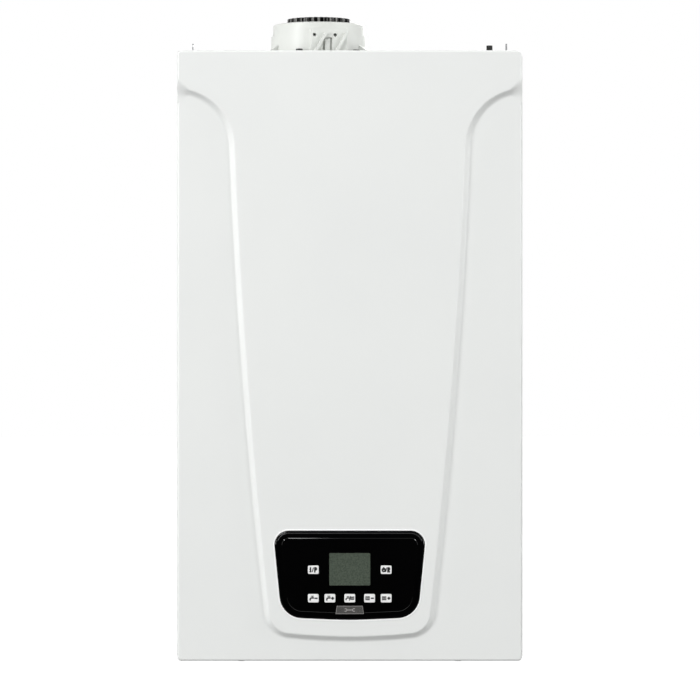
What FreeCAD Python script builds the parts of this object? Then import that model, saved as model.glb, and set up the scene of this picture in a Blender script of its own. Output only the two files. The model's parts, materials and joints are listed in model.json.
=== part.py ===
import FreeCAD, Part
import math
import os

V = FreeCAD.Vector

# Casing
case_width = 400.0
case_height = 700.0
case_depth = 299.0
cover_depth = 49.0
panel_sheet = 1.0
panel_fold = 11.0
frame_sheet = 1.5
seat_gap = 0.3
overrun = 4.0

# Back frame with its hanging ears
hook_rise = 16.0
hook_inset = 17.0
hook_hole_radius = 4.5
ear_inset = 6.0
ear_width = 30.0
ear_rise = 8.6
ear_corner = 5.0
ear_flange_depth = 16.0
ear_flange_rise = 7.9
frame_lift = 8.0
frame_flange = 22.0
bead_spacing = 190.0
bead_width = 40.0
bead_depth = 7.0
bead_low = 250.0
bead_headroom = 60.0
lower_fixing_height = 66.0
knockout_height = 172.0
knockout_radius = 13.0
knockout_length = 30.0

# Bottom plate
plate_level = 18.0
plate_sheet = 1.2
screw_spacing = 250.0
tab_width = 24.0
tab_reach = 24.0
tab_slot = 4.8
plate_hole_gap = 0.4

# Front cover
cover_reveal = 2.5
cover_sheet = 0.8
cover_corner = 4.0
cover_edge = 2.2
cover_overlap = 12.0
fascia_proud = 2.0
emboss_height = 6.0
emboss_half_slope = 4.3
emboss_rim_share = 1.35
emboss_levels = 8
shoulder_drop = 111.0
shoulder_outset = 2.3
shoulder_radius = 64.0
shoulder_fall_share = 0.25
shoulder_flare_share = 3.0
flank_lean_share = 0.0383
flank_radius = 7360.0
foot_level = 24.9
foot_radius = 28.0
foot_bow = 680.0
fascia_gap = 0.8
cover_screw_radius = 2.0
cover_screw_head = 4.2
cover_screw_cap = 2.4
cover_screw_length = 9.0

# Flue turret
flue_x = -36.7
flue_depth_share = 0.4515
turret_turn = 12.0
turret_radius = 54.5
turret_bore = 50.3
turret_height = 43.0
turret_foot_radius = 56.8
turret_foot_height = 29.0
turret_flange_radius = 69.0
turret_flange_sheet = 5.0
turret_chamfer = 1.2
air_hole_radius = 46.0
flue_gasket_sheet = 2.0
flue_screw_angle = 33.0
flue_screw_circle = 63.0
flue_screw_radius = 2.0
flue_screw_head = 4.0
flue_screw_cap = 4.6
port_half_width = 21.4
port_reach = 60.0
port_height = 35.0
port_corner = 2.0
port_hole_radius = 2.0
port_hole_depth = 7.0
port_hole_spacing = 24.9
port_hole_level = 27.0
port_rib_sheet = 3.4
port_rib_depth = 5.0
port_rib_lean = 10.0
port_rib_level = 29.5
port_tab_width = 5.8
port_tab_x = -1.9
port_slot_gap = 2.6
port_slot_depth = 4.0
port_slot_level = 22.2
port_slot_head = 1.6
gusset_sheet = 2.6
gusset_height = 13.3
gusset_toe = 4.6
gusset_angle = 58.0

# Flue duct and its seal
duct_radius = 35.0
duct_bore = 28.5
socket_bore = 30.2
socket_depth = 50.0
seal_radius = 37.5
seal_bore = 31.0
seal_skirt = 10.0
seal_rise = 7.0
seal_flutes = 36
seal_flute_radius = 1.5

# Heat exchanger
drum_x = 0.0
drum_level = 468.0
drum_rear_share = 0.2609
drum_length_share = 0.3679
drum_radius = 112.0
drum_wall = 10.0
drum_grooves = 5
drum_groove_width = 7.0
drum_groove_depth = 5.0
spigot_radius = 40.0
spigot_rise = 132.0
stub_radius = 13.0
stub_spread = 80.0
stub_drop = 104.0
drain_radius = 12.0
drain_x = -30.0
drain_drop = 122.0
lug_reach = 150.0
lug_width = 40.0
lug_sheet = 8.0
bracket_sheet = 2.5
bracket_drop = 32.0

# Burner
door_radius = 92.0
door_sheet = 9.0
door_boss_radius = 50.0
door_boss = 7.0
door_bolts = 6
door_bolt_circle = 80.0
door_nut_radius = 6.5
door_nut_height = 6.0
door_mouth = 33.0
burner_radius = 31.0
burner_wall = 1.5
burner_length_share = 0.76
burner_rim = 41.0
burner_slots = 12
burner_slot_width = 3.0
electrode_radius = 5.0
electrode_rise = 60.0
electrode_head = 16.0
electrode_reach = 24.0
electrode_rod = 1.5
electrode_spacing = 12.0

# Fan and mixer
fan_x = 62.0
fan_level = 286.0
fan_depth_share = 0.147
fan_wall = 4.0
volute_start = 56.0
volute_growth = 22.0
fan_outlet_near = 30.0
fan_outlet_top = 362.0
fan_cavity = 50.0
impeller_radius = 46.0
impeller_disc = 3.0
impeller_depth_share = 0.56
impeller_blades = 14
impeller_blade_sheet = 2.0
impeller_blade_depth = 12.0
impeller_eye = 24.0
impeller_blade_angle = 25.0
fan_shaft = 4.0
shaft_play = 0.05
shaft_hold = 20.0
fan_motor_radius = 42.0
fan_motor_depth = 44.0
fan_motor_boss = 24.0
fan_motor_body_share = 0.75
manifold_end = 44.0
mixer_radius = 35.0
mixer_depth_share = 0.11
mixer_port = 8.0
mixer_port_wall = 4.0
mixer_port_reach = 12.0
silencer_offset = 14.0
silencer_share = 0.4
silencer_wall = 2.0
silencer_low = 338.0
silencer_length = 210.0
silencer_mouth_share = 1.35

# Gas train
valve_x = -96.0
valve_width = 68.0
valve_height = 78.0
valve_depth_share = 0.18
valve_edge = 6.0
coil_radius = 15.0
coil_height = 26.0
coil_spread = 17.0
gas_tube_radius = 9.0
gas_nut_radius = 15.0
gas_nut_length = 14.0
gas_bend = 26.0
gas_level = 190.0
valve_inlet_level = 245.0

# Expansion vessel
vessel_offset = 14.0
vessel_room = 50.0
vessel_headroom = 22.0
vessel_depth_share = 0.1873
vessel_low = 228.0
vessel_corner = 46.0
vessel_edge = 16.0
vessel_seam = 4.0
vessel_seam_width = 7.0
vessel_wall = 2.0
vessel_mouth = 4.0
vessel_pipe_inset = 30.0
vessel_pipe_radius = 6.0
vessel_pipe_bend = 14.0
vessel_pipe_level = 186.0
charge_inset = 29.5
charge_boss_radius = 11.0
charge_boss_drop = 30.0
charge_radius = 5.0
charge_rise = 20.0
charge_hole_gap = 1.0
charge_cap_radius = 3.7
charge_cap_height = 8.0
charge_cap_flutes = 12
charge_flute_radius = 0.5

# Water blocks and tails
tail_depth_share = 0.3512
tail_spread_share = 0.65
large_thread = 13.2
small_thread = 10.5
tail_wall = 3.0
tail_end = 2.0
tail_neck = 0.8
tail_neck_drop = 1.0
tail_collar_radius = 15.4
tail_collar = 10.0
block_low = 48.0
block_height = 102.0
block_overhang = 15.0
block_end = 22.0
block_depth_share = 0.1338
block_edge = 8.0
tap_boss_radius = 11.0
tap_boss_gap = 3.0
tap_stem = 5.0
tap_stem_hold = 12.0
tap_knob_radius = 11.0
tap_knob_height = 15.0
tap_knob_flutes = 8
tap_flute_radius = 2.0
diverter_inset = 28.0
diverter_radius = 19.0
diverter_height = 46.0
diverter_plug = 14.0
water_pipe_radius = 9.0
water_pipe_bend = 30.0
water_pipe_inset = 22.0
water_pipe_lower = 215.0
water_pipe_upper = 300.0
plates_width = 190.0
plates_height = 75.0
plates_depth_share = 0.1672
plates_low = 62.0
plates_edge = 10.0
plates_count = 12
plate_groove = 1.6
plates_port_radius = 11.0
plates_port_x = 74.0
plates_port_z = 20.0
plates_port_length = 7.0

# Pump
pump_level = 101.0
pump_radius = 46.0
pump_depth_share = 0.147
pump_wall = 7.0
pump_cavity = 36.0
pump_motor_radius = 42.0
pump_motor_share = 0.1605
pump_fins = 16
pump_fin_depth = 3.0
pump_fin_width = 6.0
pump_fin_shares = (0.15, 0.8)
rotor_radius = 33.0
rotor_depth = 18.0
rotor_vanes = 6
rotor_vane_sheet = 3.0
rotor_shaft = 5.0
rotor_hold = 22.0

# Pressure gauge
gauge_inset = 36.0
gauge_depth_share = 0.6
gauge_radius = 20.0
gauge_height = 34.0
gauge_rim = 23.0
gauge_rim_drop = 10.0
gauge_recess_radius = 18.0
gauge_recess = 6.0
needle_length = 14.0
needle_tail = 5.0
needle_width = 2.4
needle_sheet = 1.0
needle_hub = 3.0
needle_post = 1.5

# Condensate trap
trap_inset = 35.0
trap_depth_share = 0.555
trap_radius = 23.0
trap_low = 34.0
trap_height = 150.0
trap_cap_radius = 26.0
trap_cap = 14.0
trap_nozzle = 11.0
trap_pipe_radius = 9.0
trap_pipe_bend = 24.0
trap_pipe_level = 318.0

# Cable gland
gland_x = -62.0
gland_depth_share = 0.63
gland_radius = 9.0
gland_bore = 5.0
gland_nut = 13.0
gland_nut_height = 7.0
gland_dome_height = 11.0

# Control housing
housing_half_width = 130.0
housing_low = 33.0
housing_high = 160.0
housing_depth_share = 0.178
housing_wall = 2.5
housing_corner = 8.0
housing_front_gap = 5.0
housing_rib_count = 5
housing_rib_depth = 2.0
hinge_back = 14.0
hinge_radius = 6.5
hinge_pin = 2.5
hinge_pin_play = 0.06
hinge_lug = 5.0
hinge_arm = 4.0
hinge_foot_depth = 26.0

# Control fascia
fascia_top = 149.3
fascia_bottom = 46.7
fascia_half_top = 87.6
fascia_half_bottom = 77.8
fascia_top_corner = 16.0
fascia_foot_corner = 26.0
fascia_bow = 3.4
fascia_bow_radius = 560.0
fascia_wall = 2.5
fascia_band = 8.0
fascia_step = 1.2
fascia_edge = 1.6
fascia_face = 2.6
fascia_seat = 7.0
display_width = 47.2
display_height = 37.2
display_level = 105.6
display_sunk = 0.5
display_sheet = 1.8
display_lip = 1.5
board_gap = 3.0
board_sheet = 1.6
board_inset = 6.0
switch_width = 6.0
press_travel = 0.8

# Buttons and service flap
key_width = 12.3
key_height = 9.7
key_corner = 1.4
key_edge = 0.6
key_proud = 0.9
key_play = 0.15
key_flange = 1.2
key_flange_sheet = 1.2
key_stem = 2.0
upper_key_level = 105.0
lower_key_level = 72.4
key_spread_outer = 41.7
key_spread_inner = 22.7
flap_top_width = 29.9
flap_bottom_width = 32.9
flap_top = 63.7
flap_bottom = 54.3
flap_corner = 0.8
flap_proud = 0.2
flap_sheet = 2.2
flap_leg = 3.0
flap_leg_sheet = 1.6

# Levels and planes that follow from the sizes above
half_width = case_width / 2
inner_half = half_width - panel_sheet
hook_height = case_height + hook_rise
bead_high = case_height - bead_headroom
shoulder_level = case_height - shoulder_drop
panel_depth = case_depth - cover_depth
cover_width = case_width - cover_reveal * 2
ear_reach = inner_half - ear_inset
hook_spacing = (ear_reach - hook_inset) * 2
shoulder_reach = cover_width / 2 + shoulder_outset
flue_y = -case_depth * flue_depth_share
drum_rear = case_depth * drum_rear_share
drum_length = case_depth * drum_length_share
burner_length = drum_length * burner_length_share
fan_depth = case_depth * fan_depth_share
impeller_depth = fan_depth * impeller_depth_share
mixer_depth = case_depth * mixer_depth_share
silencer_radius = mixer_depth * silencer_share
silencer_mouth = silencer_radius * silencer_mouth_share
mixer_throat = silencer_radius - silencer_wall * 2
valve_depth = case_depth * valve_depth_share
vessel_width = case_width - vessel_room
vessel_depth = case_depth * vessel_depth_share
charge_x = half_width - charge_inset
tail_y = -case_depth * tail_depth_share
tail_spread_outer = half_width * tail_spread_share
tail_spread_inner = tail_spread_outer / 2
knob_spread = (tail_spread_outer + tail_spread_inner) / 2
block_inner = tail_spread_inner - block_overhang
block_outer = tail_spread_outer + block_end
block_depth = case_depth * block_depth_share
diverter_x = diverter_inset - block_outer
water_pipe_x = block_inner + water_pipe_inset
vessel_pipe_x = block_outer - vessel_pipe_inset
plates_depth = case_depth * plates_depth_share
pump_x = (block_inner + block_outer) / 2
pump_depth = case_depth * pump_depth_share
pump_motor_depth = case_depth * pump_motor_share
gauge_x = half_width - gauge_inset
gauge_y = -case_depth * gauge_depth_share
trap_x = trap_inset - half_width
trap_y = -case_depth * trap_depth_share
gland_y = -case_depth * gland_depth_share
front_plane = -case_depth
shield_plane = front_plane + fascia_proud
base_plane = shield_plane + emboss_height
cover_back = -(panel_depth + seat_gap)
top_level = case_height - cover_sheet - seat_gap
plate_top = plate_level + plate_sheet
turret_base = top_level + flue_gasket_sheet
turret_top = case_height + turret_height
duct_top = turret_top
drum_front = -(drum_rear + drum_length)
spigot_top = drum_level + spigot_rise
door_front = drum_front - door_sheet - door_boss
manifold_front = door_front - fan_depth
fan_front = manifold_front
fan_rear = fan_front + fan_depth
mixer_front = fan_front - mixer_depth
gas_line_y = fan_front - mixer_depth / 2
vessel_front = -(bead_depth + vessel_depth)
vessel_axis = -(bead_depth + vessel_depth / 2)
vessel_top = case_height - vessel_headroom
block_rear = tail_y + block_depth / 2
block_front = tail_y - block_depth / 2
block_top = block_low + block_height
pump_front = block_front - pump_depth
housing_front = base_plane + cover_sheet + housing_front_gap
fascia_rear = front_plane + fascia_face
board_front = fascia_rear + fascia_seat
housing_rear = housing_front + case_depth * housing_depth_share
hinge_y = housing_front + hinge_back
hinge_z = housing_low + hinge_radius - housing_wall


def block(x, y, z):
    return Part.makeBox(x[1] - x[0], y[1] - y[0], z[1] - z[0], V(x[0], y[0], z[0]))


def rod(radius, start, end):
    along = V(*end) - V(*start)
    return Part.makeCylinder(radius, along.Length, V(*start), along)


def tube(outer, inner, start, end):
    return rod(outer, start, end).cut(rod(inner, start, end))


def joined(shapes):
    whole = shapes[0].fuse(shapes[1:]) if len(shapes) > 1 else shapes[0]
    return whole.removeSplitter()


def mirrored(shape):
    return shape.mirror(V(0, 0, 0), V(1, 0, 0))


def pair(shape):
    return Part.makeCompound([shape, mirrored(shape)])


def around(shape, count, centre, axis):
    copies = []
    for index in range(count):
        copy = shape.copy()
        copy.rotate(V(*centre), V(*axis), index * 360.0 / count)
        copies.append(copy)
    return copies


def outline(corners, y):
    points = [V(x, y, z) for x, z, _ in corners]
    bends = []
    for index, here in enumerate(points):
        back = points[index - 1] - here
        ahead = points[(index + 1) % len(points)] - here
        back.normalize()
        ahead.normalize()
        half = back.getAngle(ahead) / 2
        bisector = back + ahead
        bisector.normalize()
        radius = corners[index][2]
        reach = radius / math.tan(half)
        middle = here + bisector * (radius / math.sin(half) - radius)
        bends.append((here + back * reach, middle, here + ahead * reach))
    edges = []
    for index, bend in enumerate(bends):
        if corners[index][2] > 0:
            edges.append(Part.Arc(*bend).toShape())
        follow = bends[(index + 1) % len(bends)][0]
        if not bend[2].isEqual(follow, seat_gap / 100):
            edges.append(Part.makeLine(bend[2], follow))
    return Part.Wire(edges)


def rectangle(x, z, radius, y):
    corners = [(x[0], z[0], radius), (x[1], z[0], radius), (x[1], z[1], radius), (x[0], z[1], radius)]
    return outline(corners, y)


def slab(wire, depth):
    return Part.Face(wire).extrude(V(0, depth, 0))


def edges_in_plane(shape, y):
    near = seat_gap / 100
    return [e for e in shape.Edges if abs(e.BoundBox.YMin - y) < near and abs(e.BoundBox.YMax - y) < near]


def bent_rod(route, radius, bend):
    points = [V(*point) for point in route]
    edges = []
    last = points[0]
    for index in range(1, len(points) - 1):
        here = points[index]
        back = points[index - 1] - here
        ahead = points[index + 1] - here
        back.normalize()
        ahead.normalize()
        half = back.getAngle(ahead) / 2
        bisector = back + ahead
        bisector.normalize()
        reach = bend / math.tan(half)
        middle = here + bisector * (bend / math.sin(half) - bend)
        edges.append(Part.makeLine(last, here + back * reach))
        edges.append(Part.Arc(here + back * reach, middle, here + ahead * reach).toShape())
        last = here + ahead * reach
    edges.append(Part.makeLine(last, points[-1]))
    profile = Part.Wire(Part.makeCircle(radius, points[0], points[1] - points[0]))
    return Part.Wire(edges).makePipeShell([profile], True, False)


def sixths():
    return [math.radians(60 * k) for k in range(7)]


def hexagon(radius, start, height):
    points = [V(start[0] + radius * math.cos(turn), start[1] + radius * math.sin(turn), start[2])
              for turn in sixths()]
    wire = Part.makePolygon(points)
    return Part.Face(wire).extrude(V(0, 0, height))


def hex_bar(radius, start, depth):
    points = [V(start[0] + radius * math.cos(turn), start[1], start[2] + radius * math.sin(turn))
              for turn in sixths()]
    wire = Part.makePolygon(points)
    return slab(wire, depth)


# Casing pieces
def back_frame():
    plate = block((-inner_half, inner_half), (-frame_sheet, 0), (frame_lift, top_level))
    flange = block((inner_half - frame_sheet, inner_half), (-frame_flange, 0),
                   (plate_top, top_level - panel_sheet))
    ear_top = hook_height + ear_rise
    ear = slab(outline([(ear_reach - ear_width, top_level - overrun, 0),
                        (ear_reach, top_level - overrun, 0),
                        (ear_reach, ear_top, 0), (ear_reach - ear_width, ear_top,
                                                  ear_corner)], 0), -frame_sheet)
    wing = block((ear_reach - frame_sheet, ear_reach), (-ear_flange_depth, 0),
                 (top_level + seat_gap, ear_top + ear_flange_rise))
    tips = [e for e in wing.Edges if e.BoundBox.XLength > 0 and e.BoundBox.ZMin > ear_top
            and e.BoundBox.YMax < -frame_sheet]
    wing = wing.makeFillet(ear_corner, tips)
    side = joined([flange, ear, wing])
    bead_x = bead_spacing / 2
    reach = (bead_x - bead_width / 2, bead_x + bead_width / 2)
    inner = (reach[0] + frame_sheet, reach[1] - frame_sheet)
    bead = slab(rectangle(reach, (bead_low, bead_high), bead_width / 2 - seat_gap, 0), -bead_depth)
    hollow = slab(rectangle(inner, (bead_low + frame_sheet, bead_high - frame_sheet),
                            bead_width / 2 - seat_gap - frame_sheet, 0), frame_sheet - bead_depth)
    shape = joined([plate, side, mirrored(side), bead, mirrored(bead)])
    shape = shape.cut([hollow, mirrored(hollow)])
    holes = []
    for level in (hook_height, lower_fixing_height):
        hole = rod(hook_hole_radius, (hook_spacing / 2, -overrun, level),
                   (hook_spacing / 2, overrun, level))
        holes += [hole, mirrored(hole)]
    for x in tail_places():
        half = knockout_length / 2
        hole = slab(rectangle((x - knockout_radius, x + knockout_radius),
                              (knockout_height - half,
                               knockout_height + half), knockout_radius - seat_gap,
                              overrun), -overrun - overrun)
        holes.append(hole)
    return shape.cut(holes)


def side_panel():
    sheet = block((inner_half, half_width), (-panel_depth, 0), (tail_end, top_level))
    fold = block((half_width - panel_fold, half_width), (-panel_depth, -panel_depth + panel_sheet),
                 (tail_end, top_level))
    foot = block((half_width - panel_fold, half_width), (-panel_depth, 0),
                 (tail_end, tail_end + panel_sheet))
    corner = block((half_width - panel_fold, inner_half), (-frame_flange - seat_gap, 0),
                   (tail_end, tail_end + panel_sheet))
    return joined([sheet, fold, foot.cut(corner)])


def top_panel():
    sheet = block((-inner_half, inner_half), (-panel_depth + panel_sheet, -frame_sheet),
                  (top_level - panel_sheet, top_level))
    lip = half_width - panel_fold - seat_gap
    fold = block((-lip, lip), (-panel_depth, -panel_depth + panel_sheet),
                 (top_level - panel_fold, top_level))
    hem = block((-inner_half + frame_sheet, inner_half - frame_sheet),
                (-frame_sheet - panel_sheet, -frame_sheet), (top_level - panel_fold, top_level))
    shape = joined([sheet, fold, hem])
    air = rod(air_hole_radius, (flue_x, flue_y, top_level - overrun),
              (flue_x, flue_y, top_level + overrun))
    charge = rod(charge_radius + charge_hole_gap, (charge_x, vessel_axis, top_level - overrun),
                 (charge_x, vessel_axis, top_level + overrun))
    return shape.cut([air, charge])


def tail_places():
    return (-tail_spread_outer, -tail_spread_inner, 0, tail_spread_inner, tail_spread_outer)


def bottom_plate():
    sheet = block((-inner_half, inner_half), (-panel_depth + panel_sheet, -frame_sheet),
                  (plate_level, plate_top))
    lip = half_width - panel_fold - seat_gap
    tab_level = cover_sheet + seat_gap
    fold = block((-lip, lip), (-panel_depth, -panel_depth + plate_sheet), (tab_level, plate_top))
    shape = joined([sheet, fold, screw_tab(), mirrored(screw_tab())])
    holes = [(gauge_x, gauge_y, gauge_radius), (trap_x, trap_y, trap_nozzle),
             (gland_x, gland_y, gland_radius)]
    holes += [(x, tail_y, tail_radius(x)) for x in tail_places()]
    holes += [(x, tail_y, tap_knob_radius + plate_hole_gap) for x in (-knob_spread, knob_spread)]
    cuts = [rod(radius + plate_hole_gap, (x, y, plate_level - overrun), (x, y, plate_top + overrun))
            for x, y, radius in holes]
    return shape.cut(cuts)


def screw_tab():
    x = screw_spacing / 2
    low = cover_sheet + seat_gap
    tab = block((x - tab_width / 2, x + tab_width / 2),
                (-panel_depth - tab_reach, -panel_depth + plate_sheet),
                (low, low + plate_sheet))
    middle = -panel_depth - tab_reach / 2
    slot = block((x - tab_slot / 2, x + tab_slot / 2), (-panel_depth - tab_reach - overrun, middle),
                 (low - overrun, low + overrun))
    end = rod(tab_slot / 2, (x, middle, low - overrun), (x, middle, low + overrun))
    return tab.cut([slot, end])


def tail_radius(x):
    return small_thread if abs(abs(x) - tail_spread_inner) < seat_gap else large_thread


def meet(a, radius_a, b, radius_b):
    dx = b[0] - a[0]
    dz = b[1] - a[1]
    apart = math.hypot(dx, dz)
    along = (radius_a ** 2 - radius_b ** 2 + apart ** 2) / (2 * apart)
    across = math.sqrt(radius_a ** 2 - along ** 2)
    return (a[0] + (along * dx - across * dz) / apart, a[1] + (along * dz + across * dx) / apart)


def towards(a, b, distance):
    apart = math.hypot(b[0] - a[0], b[1] - a[1])
    return (a[0] + (b[0] - a[0]) * distance / apart, a[1] + (b[1] - a[1]) * distance / apart)


def shield_wire(inset, y):
    shoulder = (-shoulder_reach, shoulder_level)
    lean = math.hypot(1, flank_lean_share)
    flank = (shoulder[0] + (shoulder_radius + flank_radius) / lean,
             shoulder[1] + (shoulder_radius + flank_radius) * flank_lean_share / lean)
    foot = (0, foot_level + foot_bow)
    heel = meet(flank, flank_radius - foot_radius, foot, foot_bow - foot_radius)
    fall = math.hypot(1, shoulder_fall_share)
    start = (shoulder[0] + (shoulder_radius + inset) * shoulder_fall_share / fall,
             shoulder[1] + (shoulder_radius + inset) / fall)
    outside = -cover_width / 2 - overrun
    edge = (outside, start[1] + (start[0] - outside) * shoulder_fall_share + inset * shoulder_flare_share)
    near_flank = towards(shoulder, flank, shoulder_radius + inset)
    round_mid = (near_flank[0] + start[0], near_flank[1] + start[1])
    round_mid = towards(shoulder, (round_mid[0] / 2, round_mid[1] / 2), shoulder_radius + inset)
    flank_end = towards(flank, heel, flank_radius - inset)
    flank_mid = towards(flank, ((near_flank[0] + flank_end[0]) / 2, (near_flank[1] + flank_end[1]) / 2),
                        flank_radius - inset)
    heel_end = towards(foot, heel, foot_bow - inset)
    heel_mid = towards(heel, ((flank_end[0] + heel_end[0]) / 2, (flank_end[1] + heel_end[1]) / 2),
                       foot_radius - inset)
    roof = case_height + overrun
    left = [(edge, None, start), (start, round_mid, near_flank), (near_flank, flank_mid, flank_end),
            (flank_end, heel_mid, heel_end)]
    right = [tuple((-p[0], p[1]) if p else None for p in reversed(arc)) for arc in reversed(left)]
    floor = [(heel_end, (0, foot_level + inset), (-heel_end[0], heel_end[1]))]
    top = [((-edge[0], edge[1]), None, (-outside, roof)), ((-outside, roof), None, (outside, roof)),
           ((outside, roof), None, edge)]
    edges = []
    for begin, middle, end in left + floor + right + top:
        ends = (V(begin[0], y, begin[1]), V(end[0], y, end[1]))
        if middle:
            edges.append(Part.Arc(ends[0], V(middle[0], y, middle[1]), ends[1]).toShape())
        else:
            edges.append(Part.makeLine(*ends))
    return Part.Wire(edges)


def cover_tray(inset, front):
    half = cover_width / 2 - inset
    wire = rectangle((-half, half), (inset, case_height - inset), cover_corner - inset, front)
    tray = slab(wire, cover_back - front)
    return tray.makeFillet(cover_edge - inset, edges_in_plane(tray, front))


def cover_bulk(inset):
    raised = shield_plane + inset
    plain = base_plane + inset
    wires = [shield_wire(inset - emboss_half_slope, plain + emboss_height)]
    for level in range(emboss_levels + 1):
        share = level / emboss_levels
        rise = (1 - math.cos(math.pi * share ** emboss_rim_share)) / 2
        slope = inset + emboss_half_slope * (2 * share - 1)
        wires.append(shield_wire(slope, plain + (raised - plain) * rise))
    shield = Part.makeLoft(wires, True, True)
    return cover_tray(inset, plain).fuse(shield.common(cover_tray(inset, raised)))


def front_cover():
    mouth = block((-cover_width, cover_width), (cover_back - seat_gap, cover_back + overrun),
                  (-case_height, case_height + case_height))
    hollow = cover_bulk(cover_sheet)
    deeper = hollow.copy()
    deeper.translate(V(0, seat_gap, 0))
    shell = cover_bulk(0).cut(hollow.fuse(deeper))
    half = cover_width / 2 - cover_corner
    eave = block((-half, half), (cover_back - overrun, cover_back + cover_overlap),
                 (case_height - cover_sheet, case_height))
    shell = shell.cut(mouth.common(deeper)).fuse(eave)
    cutout = slab(fascia_wire(fascia_gap, front_plane - overrun), case_depth + cover_back + overrun)
    holes = [rod(cover_screw_radius + plate_hole_gap, (x, -panel_depth - tab_reach / 2, -overrun),
                 (x, -panel_depth - tab_reach / 2, overrun)) for x in (-screw_spacing / 2,
                                                                       screw_spacing / 2)]
    return shell.cut([cutout] + holes).removeSplitter()


def cover_screws():
    x = screw_spacing / 2
    y = -panel_depth - tab_reach / 2
    head = hexagon(cover_screw_head, (x, y, -cover_screw_cap), cover_screw_cap)
    shank = rod(cover_screw_radius, (x, y, -cover_screw_cap / 2), (x, y, cover_screw_length))
    return pair(joined([head, shank]))


# Flue pieces
def flue_turret():
    rings = [rod(turret_flange_radius, (0, 0, turret_base), (0, 0, turret_base + turret_flange_sheet)),
             rod(turret_foot_radius, (0, 0, turret_base), (0, 0, case_height + turret_foot_height))]
    collar = rod(turret_radius, (0, 0, turret_base), (0, 0, turret_top))
    lip = turret_top - turret_chamfer
    rim = [e for e in collar.Edges if e.BoundBox.ZMin > lip and len(e.Vertexes) == 1]
    rings.append(collar.makeChamfer(turret_chamfer, rim))
    port_top = case_height + port_height
    port = slab(rectangle((-port_half_width, port_half_width), (turret_base, port_top), port_corner,
                          -port_reach), port_reach)
    tab_left = port_tab_x - port_tab_width / 2
    tab_right = port_tab_x + port_tab_width / 2
    slots = [block(side, (-port_reach - overrun, -port_reach + port_slot_depth),
                   (turret_base + turret_flange_sheet, case_height + port_slot_level))
             for side in ((tab_left - port_slot_gap, tab_left), (tab_right, tab_right + port_slot_gap))]
    across = (tab_left - port_slot_gap, tab_right + port_slot_gap)
    slots.append(block(across, (-port_reach - overrun, -port_reach + port_slot_depth),
                       (case_height + port_slot_level, case_height + port_slot_level + port_slot_head)))
    ribs = []
    for x in (-port_hole_spacing / 2, port_hole_spacing / 2):
        foot = (x - port_rib_lean / 2, turret_base + turret_flange_sheet)
        head = (x + port_rib_lean / 2 + port_rib_sheet, case_height + port_rib_level)
        ribs.append(slab(outline([(foot[0] - port_rib_sheet / 2, foot[1], 0),
                                  (foot[0] + port_rib_sheet / 2, foot[1], 0),
                                  (head[0] + port_rib_sheet / 2, head[1], 0),
                                  (head[0] - port_rib_sheet / 2, head[1],
                                   0)], -port_reach - port_rib_depth),
                         port_rib_depth + port_slot_depth))
    near = turret_radius - turret_chamfer
    far = turret_flange_radius - turret_chamfer
    ledge = turret_base + turret_flange_sheet
    gusset = Part.Face(Part.makePolygon([V(near, 0, turret_base), V(far, 0, turret_base),
                                         V(far, 0, ledge + gusset_toe), V(near, 0, ledge + gusset_height),
                                         V(near, 0, turret_base)]))
    gusset = gusset.extrude(V(0, gusset_sheet, 0))
    gusset.translate(V(0, -gusset_sheet / 2, 0))
    gussets = []
    for angle in (gusset_angle, -gusset_angle, 180 - gusset_angle, 180 + gusset_angle):
        gussets.append(gusset.copy())
        gussets[-1].rotate(V(0, 0, 0), V(0, 0, 1), angle - 90 - turret_turn)
    shape = joined(rings + [port.cut(slots)] + ribs + gussets)
    cuts = [rod(turret_bore, (0, 0, turret_base - overrun), (0, 0, turret_top + overrun))]
    for side in (-1, 1):
        x = side * port_hole_spacing / 2
        level = case_height + port_hole_level
        cuts.append(rod(port_hole_radius, (x - port_rib_lean / 2, -port_reach - overrun, level),
                        (x - port_rib_lean / 2, -port_reach + port_hole_depth, level)))
    cuts += [rod(flue_screw_radius + plate_hole_gap, (x, y, turret_base - overrun), (x, y, turret_top))
             for x, y in flue_screw_places()]
    shape = shape.cut(cuts).removeSplitter()
    return turned(shape)


def turned(shape):
    shape.rotate(V(0, 0, 0), V(0, 0, 1), turret_turn)
    shape.translate(V(flue_x, flue_y, 0))
    return shape


def flue_screw_places():
    angles = (flue_screw_angle, -flue_screw_angle, 180 - flue_screw_angle, 180 + flue_screw_angle)
    return [(flue_screw_circle * math.sin(math.radians(a)),
             -flue_screw_circle * math.cos(math.radians(a)))
            for a in angles]


def flue_gasket():
    ring = tube(turret_flange_radius, turret_bore, (0, 0, top_level), (0, 0, turret_base))
    holes = [rod(flue_screw_radius + plate_hole_gap, (x, y, top_level - overrun), (x, y, turret_top))
             for x, y in flue_screw_places()]
    return turned(ring.cut(holes))


def flue_screws():
    screws = []
    seat = turret_base + turret_flange_sheet
    for x, y in flue_screw_places():
        shank = rod(flue_screw_radius, (x, y, top_level), (x, y, seat + flue_screw_cap))
        screws.append(joined([shank, rod(flue_screw_head, (x, y, seat), (x, y, seat + flue_screw_cap))]))
    return turned(Part.makeCompound(screws))


def exhaust_duct():
    shell = rod(duct_radius, (flue_x, flue_y, spigot_top), (flue_x, flue_y, duct_top))
    bore = rod(duct_bore, (flue_x, flue_y, spigot_top - overrun), (flue_x, flue_y, duct_top))
    socket = rod(socket_bore, (flue_x, flue_y, duct_top - socket_depth),
                 (flue_x, flue_y, duct_top + overrun))
    return shell.cut([bore, socket])


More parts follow.
